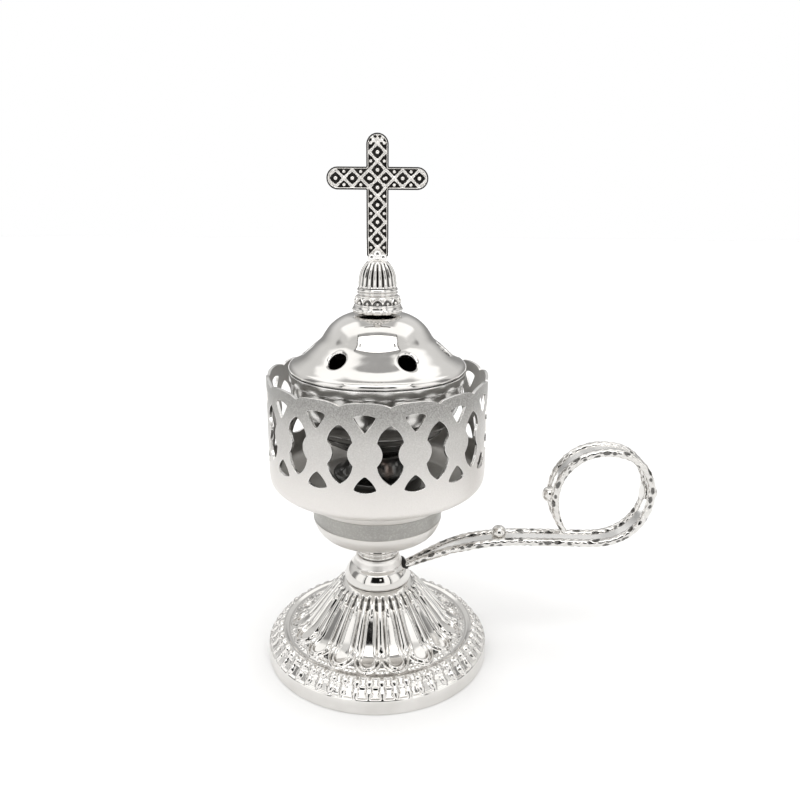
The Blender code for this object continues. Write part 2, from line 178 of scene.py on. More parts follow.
def make_object(name, verts, faces, mats, slots=None, relief=None, sharp=40.0):
    """Object from the vertices that faces use, smooth but for edges over the sharp angle."""
    used = np.unique(np.concatenate([np.array(f) for f in faces]))
    renumber = np.zeros(len(verts), int)
    renumber[used] = np.arange(len(used))
    mesh = bpy.data.meshes.new(name)
    mesh.from_pydata(verts[used] * MM, [], [[int(renumber[v]) for v in f] for f in faces])
    obj = place_mesh(name, mesh, mats)
    if slots is not None:
        mesh.polygons.foreach_set("material_index", np.array(slots, np.int32))
    if relief is not None:
        # the relief attribute is a tone per point: painted shade for the embossed chrome, and oxide tone
        # with a painted reflection on the cross border for the oxidised silver
        layer = mesh.attributes.new("relief", 'FLOAT', 'POINT')
        layer.data.foreach_set("value", np.asarray(relief, np.float32).ravel()[used])
    mesh.validate()
    mesh.shade_smooth()
    mesh.set_sharp_from_angle(angle=math.radians(sharp))
    return obj


def skin(name, points, mats, closed=False, relief=None, sharp=40.0):
    """Object from a grid whose columns go round; end rows may shrink to a point."""
    rows, cols = points.shape[:2]
    index = np.arange(rows * cols).reshape(rows, cols)
    for row in (0, rows - 1):
        if not closed and np.ptp(points[row], axis=0).max() < 1e-6:
            index[row] = index[row, 0]
    lower = np.roll(index, -1, axis=0)
    if not closed:
        index, lower = index[:-1], lower[:-1]
    quads = np.stack([index, lower, np.roll(lower, -1, axis=1), np.roll(index, -1, axis=1)], -1)
    faces = []
    for quad in quads.reshape(-1, 4).tolist():
        short = [v for k, v in enumerate(quad) if v != quad[k - 1]]
        if len(short) > 2:
            faces.append(short)
    return make_object(name, points.reshape(-1, 3), faces, mats, relief=relief, sharp=sharp)


def capped(grid):
    """The grid with a row at each end that closes it in its middle."""
    first, last = (np.repeat(grid[k].mean(axis=0)[None, None, :], grid.shape[1], 1) for k in (0, -1))
    return np.concatenate([first, grid, last])


def revolve(profile, columns, lift=0.0):
    """Grid of points of a profile (radius, height) turned about Z, lifted along its normal."""
    profile = np.asarray(profile, float)
    normal = normals(profile)
    radius = profile[:, :1] + normal[:, :1] * lift
    height = profile[:, 1:] + normal[:, 1:] * lift
    return swing(radius, turn_angles(columns), height)


def turned(name, profile, columns, mats, lift=0.0, closed=True, relief=None, sharp=40.0):
    """Turned solid; a closed profile makes a ring, an open one runs from axis to axis."""
    return skin(name, revolve(profile, columns, lift), mats, closed, relief, sharp)


def joined(name, parts):
    """One mesh out of several objects."""
    bpy.ops.object.select_all(action='DESELECT')
    for part in parts:
        part.select_set(True)
    bpy.context.view_layer.objects.active = parts[0]
    bpy.ops.object.join()
    parts[0].name = name
    parts[0].data.name = name
    return parts[0]


def inside(x, y, polygon):
    """True where the points lie inside a polygon."""
    hit = np.zeros(np.shape(x), bool)
    for (ax, ay), (bx, by) in zip(polygon, np.roll(polygon, -1, axis=0)):
        if ay != by:
            crosses = (ay > y) != (by > y)
            hit ^= crosses & (x < (bx - ax) * (y - ay) / (by - ay) + ax)
    return hit


def in_sheet(points, outline, holes):
    """True for the points inside the outline and outside every hole."""
    keep = inside(points[:, 0], points[:, 1], outline)
    for hole in holes:
        keep &= ~inside(points[:, 0], points[:, 1], hole)
    return keep


def facing_up(flat, tris):
    """The triangles that have an area, all turning the same way round."""
    a, b, c = (flat[tris[:, k]] for k in range(3))
    area = np.cross(b - a, c - a)
    tris[area < 0] = tris[area < 0][:, ::-1]
    return tris[np.abs(area) > 1e-9]


def triangulate(outline, holes, gap):
    """Even triangles inside an outline and outside the holes, as (points, triangles)."""
    loops = [outline] + holes
    rim = np.vstack(loops)
    low, high = rim.min(axis=0), rim.max(axis=0)
    rows = np.arange(low[1] + gap / 2, high[1], gap * 0.87)
    x, y = np.meshgrid(np.arange(low[0] + gap / 2, high[0], gap), rows)
    x = x + (np.arange(len(rows)) % 2)[:, None] * gap / 2
    grid = pairs(x.ravel(), y.ravel())
    grid = grid[in_sheet(grid, outline, holes)]
    near = np.array([np.hypot(*(point - rim).T).min() for point in grid])
    grid = grid[near > gap * 0.45]
    edges, first = [], 0
    for loop in loops:
        count = len(loop)
        edges += [(first + k, first + (k + 1) % count) for k in range(count)]
        first += count
    points = [Vector(p) for p in np.vstack([rim, grid])]
    verts, _, faces, _, _, _ = delaunay_2d_cdt(points, edges, [], 0, 1e-6)
    flat = np.array([v[:] for v in verts])
    tris = np.array([f[:] for f in faces if len(f) == 3])
    tris = tris[in_sheet(flat[tris].mean(axis=1), outline, holes)]
    return flat, facing_up(flat, tris)


def flat_grid(xs, ys):
    """Regular triangles over columns xs and rows ys, as (points, triangles)."""
    x, y = np.meshgrid(xs, ys)
    index = np.arange(x.size).reshape(x.shape)
    a, b = index[:-1, :-1].ravel(), index[:-1, 1:].ravel()
    c, d = index[1:, 1:].ravel(), index[1:, :-1].ravel()
    tris = np.vstack([np.stack([a, b, c], 1), np.stack([a, c, d], 1)])
    flat = pairs(x.ravel(), y.ravel())
    return flat, facing_up(flat, tris)


def strip_outline(xs, bottom, top, steps):
    """Outline of a strip over columns xs, from the height bottom to the heights top."""
    rise = np.linspace(bottom, top[0], steps)[1:-1]
    return np.vstack([pairs(xs, bottom), pairs(xs[-1], rise), pairs(xs, top)[::-1],
                      pairs(xs[0], rise)[::-1]])


def weld(pieces, period):
    """Joins flat pieces of a strip, and the two ends of the strip, one period apart."""
    flats, tris, first = [], [], 0
    for flat, tri in pieces:
        flats.append(flat)
        tris.append(tri + first)
        first += len(flat)
    flat, tris = np.vstack(flats), np.vstack(tris)
    key = np.round(flat, 4)
    key[:, 0] = np.round(np.mod(key[:, 0] + 1e-3, period), 3)
    _, keep, where = np.unique(np.round(key, 3), axis=0, return_index=True, return_inverse=True)
    tris = where.ravel()[tris]
    good = (tris[:, 0] != tris[:, 1]) & (tris[:, 1] != tris[:, 2]) & (tris[:, 2] != tris[:, 0])
    return flat[keep], tris[good]


def sheet_solid(name, flat, tris, outer, inner, mats, relief=None, sharp=40.0, bevel=0.0):
    """Closed solid between two maps of a flat pattern.

    Of three materials, the second is on the cut edges and the third on the inner face.
    """
    edge_slot, inner_slot = (1, 2) if len(mats) == 3 else (0, 0)
    half = np.vstack([tris[:, [0, 1]], tris[:, [1, 2]], tris[:, [2, 0]]])
    seen = set(map(tuple, half.tolist()))
    rim = [(a, b) for a, b in seen if (b, a) not in seen]
    count = len(flat)
    faces = tris.tolist() + (tris[:, ::-1] + count).tolist()
    faces += [(b, a, a + count, b + count) for a, b in rim]
    slots = [0] * len(tris) + [inner_slot] * len(tris) + [edge_slot] * len(rim)
    shade = None if relief is None else np.concatenate([relief, relief])
    obj = make_object(name, np.vstack([outer(flat), inner(flat)]), faces, mats, slots, shade, sharp)
    if bevel:
        mod = obj.modifiers.new("eased_edges", 'BEVEL')
        mod.width = bevel * MM
        mod.segments = 2
        mod.limit_method = 'ANGLE'
        mod.angle_limit = math.radians(50.0)
        mod.material = edge_slot
    return obj


def seat(piece, body, slot, *nodes):
    """Rides a piece on its body and hides the CAD nodes it stands for; slot is not used."""
    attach(piece, body)
    if nodes:
        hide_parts(*nodes)


# ---- materials ----
class Graph:
    """Small helper that adds and links the nodes of a node tree."""

    def __init__(self, tree):
        self.tree = tree

    def feed(self, socket, value):
        if isinstance(value, bpy.types.NodeSocket):
            self.tree.links.new(value, socket)
        elif socket.type == 'RGBA':
            socket.default_value = (*value, 1.0)
        else:
            socket.default_value = value

    def add(self, kind, output, inputs, **settings):
        """One output of a new node, whose inputs are fed by name or number."""
        node = self.tree.nodes.new(kind)
        for key, value in settings.items():
            setattr(node, key, value)
        for key, value in inputs.items():
            self.feed(node.inputs[key], value)
        return node.outputs[output]

    def span(self, value, low, high, to_low=0.0, to_high=1.0, smooth=False):
        return self.add("ShaderNodeMapRange", "Result", {
            "Value": value, "From Min": low, "From Max": high, "To Min": to_low, "To Max": to_high},
            interpolation_type='SMOOTHSTEP' if smooth else 'LINEAR')

    def maths(self, operation, a, b=0.0):
        return self.add("ShaderNodeMath", 0, {0: a, 1: b}, operation=operation)


class Metal(Graph):
    """Nodes of one material."""

    def __init__(self, name):
        self.mat = bpy.data.materials.new(name)
        self.mat.use_nodes = True
        super().__init__(self.mat.node_tree)
        self.shader = self.tree.nodes["Principled BSDF"]

    def place(self, stretch):
        coords = self.add("ShaderNodeTexCoord", "Object", {})
        return self.add("ShaderNodeMapping", "Vector", {"Scale": stretch, "Vector": coords})

    def noise(self, scale, detail, stretch=(1.0, 1.0, 1.0), rough=0.5):
        return self.add("ShaderNodeTexNoise", "Fac", {
            "Scale": scale, "Detail": detail, "Roughness": rough, "Vector": self.place(stretch)})

    def cells(self, scale):
        return self.add("ShaderNodeTexVoronoi", "Distance", {
            "Scale": scale, "Vector": self.place((1.0, 1.0, 1.0))})

    def relief(self, low, high, to_low=0.0, to_high=1.0):
        stored = self.add("ShaderNodeAttribute", "Fac", {}, attribute_name="relief")
        return self.span(stored, low, high, to_low, to_high, smooth=True)

    def height(self, low, high, to_low=0.0, to_high=1.0, smooth=False):
        coords = self.add("ShaderNodeTexCoord", "Object", {})
        z = self.add("ShaderNodeSeparateXYZ", "Z", {0: coords})
        return self.span(z, low * MM, high * MM, to_low, to_high, smooth)

    def mix(self, share, a, b):
        return self.add("ShaderNodeMix", 2, {"Factor": share, 6: a, 7: b}, data_type='RGBA')

    def cloud(self, field, low, high, a, b):
        """Colour a where the field is low and b where it is high."""
        return self.mix(self.span(field, low, high), a, b)

    def bump(self, *layers):
        """Chain of (height socket, strength, distance in metres) bumps."""
        normal = {}
        for height, strength, distance in layers:
            inputs = {"Strength": strength, "Distance": distance, "Height": height, **normal}
            normal = {"Normal": self.add("ShaderNodeBump", "Normal", inputs)}
        self.feed(self.shader.inputs["Normal"], normal["Normal"])

    def finish(self, colour, rough, metallic=1.0):
        for socket, value in (("Base Color", colour), ("Roughness", rough), ("Metallic", metallic)):
            self.feed(self.shader.inputs[socket], value)
        return self.mat


def plated_chrome(name, light, dull, gloss, wave):
    """Bright nickel-chrome plate: faint tarnish clouds, wiped smears and plating ripple."""
    n = Metal(name)
    colour = n.cloud(n.noise(60.0, 3.0), 0.35, 0.75, light, dull)
    smears = n.noise(420.0, 5.0, stretch=(1.0, 1.0, 0.35))
    n.bump((n.noise(170.0, 2.0), wave, 0.00012), (n.noise(2600.0, 2.0), 0.06, 0.00002))
    return n.finish(colour, n.span(smears, 0.35, 0.75, gloss, gloss + 0.075))


def knob_plate(name, polished_below, satin_above):
    """Chrome whose neck is left satin above the polished bulge."""
    n = Metal(name)
    neck = n.height(polished_below, satin_above)
    colour = n.cloud(n.noise(120.0, 3.0), 0.3, 0.75, (0.75, 0.735, 0.715), (0.66, 0.645, 0.62))
    colour = n.mix(neck, colour, (0.90, 0.88, 0.855))
    rough = n.maths('ADD', n.span(n.noise(500.0, 4.0), 0.35, 0.75, 0.04, 0.10),
                    n.maths('MULTIPLY', neck, 0.40))
    n.bump((n.noise(2600.0, 2.0), 0.15, 0.00003))
    return n.finish(colour, rough)


def embossed_chrome(name):
    """Chrome over stamped relief, duller down in the grooves, where painted shade darkens it by the stored
    relief.
    """
    n = Metal(name)
    # painted shade: near black where the stored relief is low, in grooves and dents
    groove_shade = n.relief(0.0, 0.55, 1.0, 0.0)
    worn = n.cloud(n.noise(90.0, 3.0), 0.35, 0.75, (0.80, 0.785, 0.765), (0.70, 0.685, 0.66))
    colour = n.mix(n.maths('MULTIPLY', groove_shade, 0.9), worn, (0.08, 0.078, 0.073))
    rough = n.maths('ADD', n.span(n.noise(500.0, 4.0), 0.35, 0.75, 0.04, 0.12),
                    n.maths('MULTIPLY', groove_shade, 0.10))
    n.bump((n.noise(240.0, 2.0), 0.25, 0.0001), (n.noise(3000.0, 2.0), 0.08, 0.00002))
    return n.finish(colour, rough)


def blasted_silver(name, low_z, high_z):
    """Sand-blasted sheet: fine grain, painted shade darkening it towards the rim, painted light whitening
    it low down, and drawn vertical marks low down.
    """
    n = Metal(name)
    grain = n.noise(2300.0, 3.0, rough=0.7)
    pits = n.cells(1700.0)
    clouds = n.noise(45.0, 3.0)
    drawn = n.noise(900.0, 3.0, stretch=(1.0, 1.0, 0.03))
    # low is 1 low down and 0 high up; it carries the painted light and places the drawn marks
    low = n.height(low_z, high_z, 1.0, 0.0, smooth=True)
    base = n.cloud(clouds, 0.3, 0.8, (0.57, 0.557, 0.54), (0.50, 0.488, 0.47))
    # painted shade: darker grey from 86 mm up towards the rim
    base = n.mix(n.height(86.0, 98.5, 0.0, 0.75, smooth=True), base, (0.20, 0.197, 0.188))
    base = n.mix(n.span(grain, 0.42, 0.70, 0.0, 0.45), base, (0.78, 0.77, 0.75))
    # painted light: near white low down
    base = n.mix(n.maths('MULTIPLY', low, 0.9), base, (0.79, 0.765, 0.74))
    n.bump((clouds, 0.15, 0.0002), (grain, 0.8, 0.00012), (pits, 0.5, 0.00008),
           (n.maths('MULTIPLY', drawn, low), 0.30, 0.00005))
    return n.finish(base, n.span(pits, 0.0, 0.6, 0.50, 0.38))


def shaded_satin(name, dark_below, light_above, shaded_colour):
    """Unpolished inner face of the sheet in painted shade: a mottled shaded colour below one height, an
    even grey above another.
    """
    n = Metal(name)
    grain = n.noise(1500.0, 3.0)
    shaded_mottle = n.cloud(n.noise(60.0, 3.0), 0.3, 0.75, shaded_colour, tuple(0.6 * c for c in shaded_colour))
    colour = n.mix(n.height(dark_below, light_above, smooth=True), shaded_mottle, (0.45, 0.44, 0.425))
    n.bump((grain, 0.5, 0.0001))
    return n.finish(colour, n.span(grain, 0.3, 0.7, 0.34, 0.5))


def spun_silver(name, light, dull, band_low, band_high):
    """Satin metal with the fine rings that a spinning tool leaves, and one duller band."""
    n = Metal(name)
    lines = n.noise(1400.0, 3.0, stretch=(0.02, 0.02, 1.0))
    specks = n.noise(1500.0, 4.0, rough=0.75)
    band = n.maths('MULTIPLY', n.height(band_low - 0.2, band_low),
                   n.height(band_high, band_high + 0.2, 1.0, 0.0))
    dull = n.cloud(n.noise(80.0, 3.0), 0.3, 0.75, dull, (0.31, 0.305, 0.29))
    dull = n.mix(n.span(specks, 0.5, 0.75, 0.0, 0.35), dull, (0.75, 0.74, 0.71))
    n.bump((lines, 0.35, 0.00005), (specks, 0.15, 0.00003))
    return n.finish(n.mix(band, light, dull), n.span(lines, 0.3, 0.7, 0.30, 0.44))


def dark_mirror(name):
    """Dark polished spun steel, ringed, with painted shade taking it to near black low down, touched with
    copper there, and a painted highlight on the lip.
    """
    n = Metal(name)
    rings = n.noise(900.0, 3.0, stretch=(0.02, 0.02, 1.0))
    # painted shade: near black below 79 mm, fading out by 92 mm
    low_shade = n.height(79.0, 92.0, 1.0, 0.0, smooth=True)
    colour = n.cloud(rings, 0.35, 0.7, (0.56, 0.55, 0.53), (0.74, 0.73, 0.71))
    # painted highlight: lighter lip above 98.2 mm
    colour = n.mix(n.height(98.2, 98.8), colour, (0.86, 0.85, 0.83))
    warm = n.span(n.noise(70.0, 3.0), 0.62, 0.8, 0.0, 0.8)
    shaded_colour = n.mix(warm, (0.07, 0.07, 0.068), (0.20, 0.09, 0.045))
    colour = n.mix(n.maths('MULTIPLY', low_shade, 0.9), colour, shaded_colour)
    n.bump((rings, 0.25, 0.00006))
    return n.finish(colour, n.span(n.noise(300.0, 4.0), 0.3, 0.75, 0.15, 0.28))


def antique_silver(name):
    """Dark oxidised silver, rubbed bright on the high points."""
    n = Metal(name)
    high = n.relief(0.18, 0.74)
    mottle = n.noise(700.0, 4.0, rough=0.65)
    dark = n.cloud(mottle, 0.3, 0.75, (0.010, 0.0095, 0.009), (0.050, 0.047, 0.044))
    bright = n.cloud(mottle, 0.40, 0.75, (0.93, 0.91, 0.88), (0.64, 0.62, 0.59))
    n.bump((mottle, 0.25, 0.00005))
    return n.finish(n.mix(high, dark, bright), n.maths('SUBTRACT', 0.42, n.maths('MULTIPLY', high, 0.22)))


def zinc_plate(name):
    n = Metal(name)
    spangle = n.cells(600.0)
    colour = n.cloud(n.noise(200.0, 3.0), 0.3, 0.7, (0.60, 0.61, 0.62), (0.50, 0.49, 0.46))
    n.bump((spangle, 0.2, 0.00004))
    return n.finish(colour, n.span(spangle, 0.0, 0.7, 0.26, 0.42))


def black_fibre(name):
    n = Metal(name)
    fibres = n.noise(900.0, 5.0, stretch=(1.0, 0.25, 1.0), rough=0.7)
    colour = n.cloud(fibres, 0.3, 0.75, (0.018, 0.017, 0.016), (0.075, 0.07, 0.065))
    n.bump((fibres, 0.5, 0.0001))
    return n.finish(colour, 0.88, metallic=0.0)


CHROME = plated_chrome("polished_chrome_plate", (0.78, 0.765, 0.745), (0.68, 0.665, 0.64),
                       gloss=0.045, wave=0.25)
# painted highlight: a lighter copy of the chrome plate for the cut edges, the handle web and the clasp
HIGHLIGHT_CHROME = plated_chrome("cut_edge_highlight_chrome", (0.97, 0.96, 0.945), (0.92, 0.91, 0.895),
                            gloss=0.16, wave=0.1)
EMBOSSED = embossed_chrome("embossed_chrome_plate")
# painted shade: the inside of the basket in a darker copy of its metal
INNER_SATIN = shaded_satin("unpolished_inner_satin", 88.0, 99.0, (0.60, 0.585, 0.56))
# painted shade: the inner faces of the lid and the fire-cup bowl, near black all over
SHADED_INNER = shaded_satin("painted_shade_inner_face", 190.0, 200.0, (0.035, 0.033, 0.03))
ANTIQUE = antique_silver("oxidised_silver")
SHADED_STEEL = dark_mirror("dark_spun_steel")
ZINC = zinc_plate("zinc_plate")
FIBRE = black_fibre("black_fibre_board")


# ---- foot ----
PETALS = 18
PETAL_AZIMUTH = -7.2           # of the petal nearest the front
BEADS = 54
BEAD_AZIMUTH = -4.4
FOOT_COLUMNS = BEADS * 16
HALF_PETAL = 180.0 / PETALS    # degrees
RIM_RUN = 29.3                 # where the beaded rim starts, down the dome
FOOT_DOME = (
    (11.2, 27.0), (12.4, 26.1), (13.6, 24.9), (15.3, 22.9), (17.2, 20.6), (19.0, 18.2),
    (20.8, 15.8), (22.6, 13.5), (24.4, 11.8), (26.5, 10.6), (29.2, 9.6), (30.4, 9.2),
    (31.4, 9.35), (32.3, 9.9), (32.8, 9.95), (33.4, 9.5), (34.0, 9.0), (36.2, 6.8),
    (37.4, 5.5), (37.9, 4.7), (38.0, 3.9),
)
# ribs of one half petal: degrees from its middle, millimetres down the dome
SPOON_RIB = ((3.2, 2.6), (4.2, 5.2), (4.7, 9.0), (4.7, 16.0), (5.0, 18.8), (5.8, 20.6),
             (5.5, 22.4), (3.9, 23.8), (1.9, 24.6), (0.0, 24.8))
GOTHIC_RIB = ((10.0, 20.9), (9.4, 22.3), (7.6, 23.8), (4.9, 25.1), (2.3, 26.0), (0.0, 26.3))
LOBE_RIB = ((7.4, 4.6), (7.5, 9.0), (7.5, 17.0), (8.4, 19.4), (10.0, 20.9))
BASE_RIB = ((10.0, 24.7), (8.2, 24.7), (6.7, 25.3))
# knobs and dimples between the ribs: degrees, millimetres down the dome, size, height
SPOTS = ((10.0, 25.9, 0.46, 0.42), (7.2, 25.9, 0.42, 0.40), (0.0, 25.5, 0.26, -0.55),
         (8.7, 26.3, 0.20, -0.25))


def petal_relief(degrees, run, radius):
    """Lift and shade of one half petal: degrees from its middle, 0 to HALF_PETAL."""
    per_degree = DEGREE * radius
    x, y = degrees * per_degree, run
    beyond = (2 * HALF_PETAL - degrees) * per_degree

    def reach(path):
        """Distance to a rib, on this half petal and mirrored beyond its edge."""
        pts = smooth_curve(path, 6)
        scale = DEGREE * np.interp(pts[:, 1], run[:, 0], radius[:, 0])
        pts = pairs(pts[:, 0] * scale, pts[:, 1])
        return np.minimum(path_distance(x, y, pts), path_distance(beyond, y, pts))

    gothic = reach(GOTHIC_RIB)
    lift = np.maximum(bead(reach(SPOON_RIB), 0.60, 0.62), bead(gothic, 0.36, 0.44))
    lift = np.maximum(lift, bead(reach(LOBE_RIB), 0.26, 0.20))
    lift = np.maximum(lift, bead(reach(BASE_RIB), 0.30, 0.30))
    # hollow spoon between the ribs, closed below by a heart-shaped ledge
    hollow = np.clip(1.0 - (degrees / 4.1) ** 2, 0.0, 1.0)
    closing = 20.7 - 1.5 * np.minimum(degrees / 3.6, 1.2) ** 2
    hollow = hollow * smoothstep(y, 7.8, 12.4) * (1.0 - smoothstep(y, closing - 0.5, closing))
    lift = lift - 1.15 * hollow
    wedge = 24.3 - 0.62 * degrees - y
    lens = smoothstep(wedge, 0.0, 0.4) * smoothstep(y, 21.7, 22.1) * (degrees < 4.2)
    lift = lift - 0.50 * lens
    # flutes: round tops under the knob, dark notches between them
    lift = np.maximum(lift, bead(np.hypot(x, (y - 5.2) * 0.42), 1.05, 0.62))
    lobe = (degrees - HALF_PETAL) * per_degree
    lift = np.maximum(lift, bead(np.abs(lobe), 0.95, 0.50) * window(y, 3.2, 18.5, 0.8))
    notch = ridge((degrees - 5.0) * per_degree, 0.42, 0.95)
    lift = lift - notch * window(y, 1.3, 5.2, 1.1)
    lift = lift - ridge((degrees - 6.2) * per_degree, 0.30, 0.38) * window(y, 5.5, 19.0, 1.5)
    # sunk triangle and drops between two petals
    sunk = smoothstep(gothic, 0.38, 0.8) * window(y, 21.9, 24.2, 0.3) * (degrees > 5.6)
    lift = lift - 0.40 * sunk
    for spot_degrees, spot_run, size, height in SPOTS:
        away = np.hypot((degrees - spot_degrees) * per_degree, y - spot_run)
        lift = lift + ridge(away, size, height)
    fade = smoothstep(y, 1.2, 2.8) * (1.0 - smoothstep(y, 26.7, 27.3))
    return lift * fade, (lift + 1.15 * hollow) * fade


def bead_relief(azimuth, run, radius):
    """Two rows of cast nuggets round the rim, each a little uneven."""
    pitch = 360.0 / BEADS
    turn = (azimuth - BEAD_AZIMUTH) / pitch
    number = np.round(turn).astype(int) % BEADS
    across = np.abs(turn - np.round(turn)) * pitch * DEGREE * radius
    wide = 1.54 * rng.uniform(0.92, 1.05, BEADS)[number]
    tall = rng.uniform(0.85, 1.1, BEADS)[number]
    shift = rng.uniform(-0.15, 0.15, BEADS)[number]
    upper = np.clip(1.0 - (across / wide) ** 2 - ((run - 31.0 - shift) / 1.5) ** 2, 0.0, 1.0)
    narrow = wide * (0.80 - 0.25 * smoothstep(run, 34.0, 36.6))
    lower = np.clip(1.0 - (across / narrow) ** 2 - ((run - 34.1 - shift) / 2.0) ** 2, 0.0, 1.0)
    lift = np.maximum(1.1 * tall * upper ** 0.42, 0.95 * tall * lower ** 0.42)
    floor = -0.50 * window(run, 30.0, 35.6, 0.6)
    return floor + lift + bead(run - 32.6, 0.35, 0.25)


def foot_piece():
    top = node_span("foot")[1]
    dome = smooth_curve(FOOT_DOME, 10)
    run = run_along(dome)
    rows = np.concatenate([
        np.linspace(0.0, 2.4, 6), np.linspace(2.8, 8.8, 15), np.linspace(9.6, 18.8, 12),
        np.linspace(19.3, 27.0, 32), np.linspace(27.5, 29.2, 4), np.linspace(29.5, 36.8, 24),
        [run[-1]]])
    dome = pairs(*(np.interp(rows, run, dome[:, k]) for k in (0, 1)))
    azimuth = np.arange(FOOT_COLUMNS) * 360.0 / FOOT_COLUMNS + 90.0      # column 0 faces +X
    petal = np.abs((azimuth - PETAL_AZIMUTH + HALF_PETAL) % (2 * HALF_PETAL) - HALF_PETAL)
    lift, painted_shade = petal_relief(petal[None, :], rows[:, None], dome[:, :1])
    rim = rows > RIM_RUN
    lift[rim] = bead_relief(azimuth[None, :], rows[rim, None], dome[rim, :1])
    # painted shade on the beaded rim: bead tops light, the floor between them dark
    painted_shade[rim] = 0.36 + 0.50 * lift[rim]
    wall = filleted([(38.0, 3.9), (38.0, 1.0), (38.0, 0.0, 0.35), (37.1, 0.0, 0.2), (37.1, 3.4)])[1:]
    under = [(37.0, 4.2), (33.1, 8.1), (30.3, 7.9), (28.4, 8.4), (26.3, 9.4), (23.9, 10.7),
             (21.8, 12.5), (18.1, 17.3), (14.4, 22.0), (12.0, 24.6), (10.6, top - 1.0),
             (BORE, top - 1.0), (BORE, top)]
    plain = np.zeros((len(wall) + len(under), FOOT_COLUMNS))
    # relief carries painted shade, dark in the petal grooves; the wall and underside get none
    foot = turned("foot_stamping", np.vstack([dome, wall, under]), FOOT_COLUMNS, [EMBOSSED],
                  lift=np.vstack([lift, plain]), relief=np.vstack([0.45 + painted_shade, plain + 0.8]),
                  sharp=60.0)
    seat(foot, "stand", "polished_chrome", "foot")


# ---- fasteners ----
THREAD_PITCH = 0.8
HEX_CHAMFER = math.tan(math.radians(30.0))
NUT_EASE = 0.25                # chamfer of the bore


def hex_nut(node):
    """Hexagon nut with turned-down corners and a chamfered bore."""
    low, high, _ = node_span(node)
    box_low, box_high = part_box(node)
    across = min(box_high.x - box_low.x, box_high.y - box_low.y) / MM
    angle = turn_angles(96)
    corner = across / 2 / np.cos((angle + math.pi / 6) % (math.pi / 3) - math.pi / 6)
    face = across / 2 * 0.97
    drop = (corner - face) * HEX_CHAMFER
    wide = ROD_BORE + NUT_EASE
    rows = ((ROD_BORE, high - NUT_EASE), (wide, high), (face, high), (corner, high - drop),
            (corner, low + drop), (face, low), (wide, low), (ROD_BORE, low + NUT_EASE))
    grid = np.array([swing(radius, angle, height) for radius, height in rows])
    nut = skin(f"{node}_chamfered", grid, [ZINC], closed=True, sharp=25.0)
    seat(nut, "stand", "zinc", node)


def threaded_rod(node, body, major, core, start, end):
    """Rod whose rolled thread starts at a height, above the profile of its lower end."""
    high = node_span(node)[1]
    rows = np.arange(start, high - 0.4, THREAD_PITCH / 8)[:, None]
    angle = turn_angles(40)
    phase = (rows / THREAD_PITCH - angle / math.tau) % 1.0
    radius = major * (core + (1.0 - core) * np.abs(2.0 * phase - 1.0))
    top, foot = (revolve(profile, 40) for profile in ([(0.0, high), (major * 0.7, high)], end))
    points = np.concatenate([top, swing(radius, angle, rows)[::-1], foot])
    seat(skin(f"{node}_threaded", points, [ZINC], sharp=35.0), body, "zinc", node)


def ring(node, finish, body="stand", bore=ROD_BORE, ease=0.18, columns=72):
    """Ring with eased edges, between a bore and the box of its CAD node."""
    low, high, outer = node_span(node)
    corners = [(bore, high, ease), (outer, high, ease), (outer, low, ease), (bore, low, ease)]
    profile = filleted(corners, closed=True, steps=3)
    seat(turned(f"{node}_{finish}", profile, columns, [ZINC]), body, "zinc", node)


def hardware():
    ring("foot_washer", "pressed")
    hex_nut("foot_nut")
    low = node_span("tie_rod")[0]
    threaded_rod("tie_rod", "stand", 1.95, 0.88, low + 0.4, [(1.95 * 0.7, low), (0.0, low)])
    ring("basket_washer", "pressed")
    hex_nut("basket_nut")
    ring("lid_washer", "pressed", "lid", bore=1.8)
    low = node_span("lid_screw")[0]
    head = [(1.45, low + 2.1), (3.0, low + 2.1), (3.0, low + 1.2), (2.6, low + 0.5),
            (1.8, low + 0.1), (0.9, low), (0.8, low + 0.6), (0.0, low + 0.6)]
    threaded_rod("lid_screw", "lid", 1.5, 0.82, low + 2.1, head)
    ring("spacer_tube", "cut", ease=0.3, columns=64)
    low, high, outer = node_span("base_plate")
    disc = filleted([(0.0, high), (outer, high, 0.3), (outer, low, 0.3), (0.0, low)], steps=3)
    board = turned("base_plate_board", disc, 180, [FIBRE], closed=False)
    seat(board, "stand", "fibre", "base_plate")


# ---- stem ----
def stem():
    low, high, _ = node_span("stem_knob")
    neck = smooth_curve([(7.2, high - 0.1), (7.45, high - 0.6), (7.6, high - 1.4), (7.95, 34.3),
                         (8.5, 33.4)], 6)
    torus = smooth_curve([(8.75, 33.1), (9.7, 32.2), (10.5, 30.9), (11.0, 29.4), (11.2, 28.2),
                          (11.1, low + 0.3), (10.8, low)], 10)
    profile = np.vstack([[(BORE, high)], [(6.9, high)], neck, torus, [(BORE, low)]])
    satin = knob_plate("stem_knob_plate", 33.0, 33.9)
    knob = turned("stem_knob_turning", profile, COLUMNS, [satin], sharp=28.0)
    seat(knob, "stand", "polished_chrome", "stem_knob")

    low, high, _ = node_span("neck_collar")
    rings = [(BORE, high), (6.5, high, 0.3)]
    for top, bottom, radius in ((42.9, 41.7, 7.4), (40.9, 39.9, 7.2), (38.9, 38.0, 7.05)):
        rings += [(radius - 0.35, top, 0.2), (radius, top - 0.25, 0.4), (radius, bottom + 0.25, 0.4),
                  (radius - 0.35, bottom, 0.2), (radius - 0.75, bottom - 0.3, 0.3)]
    rings += [(6.9, low + 0.5, 0.3), (6.8, low), (BORE, low)]
    collar = turned("neck_collar_rings", filleted(rings, steps=5), COLUMNS, [CHROME], sharp=50.0)
    seat(collar, "stand", "polished_chrome", "neck_collar")


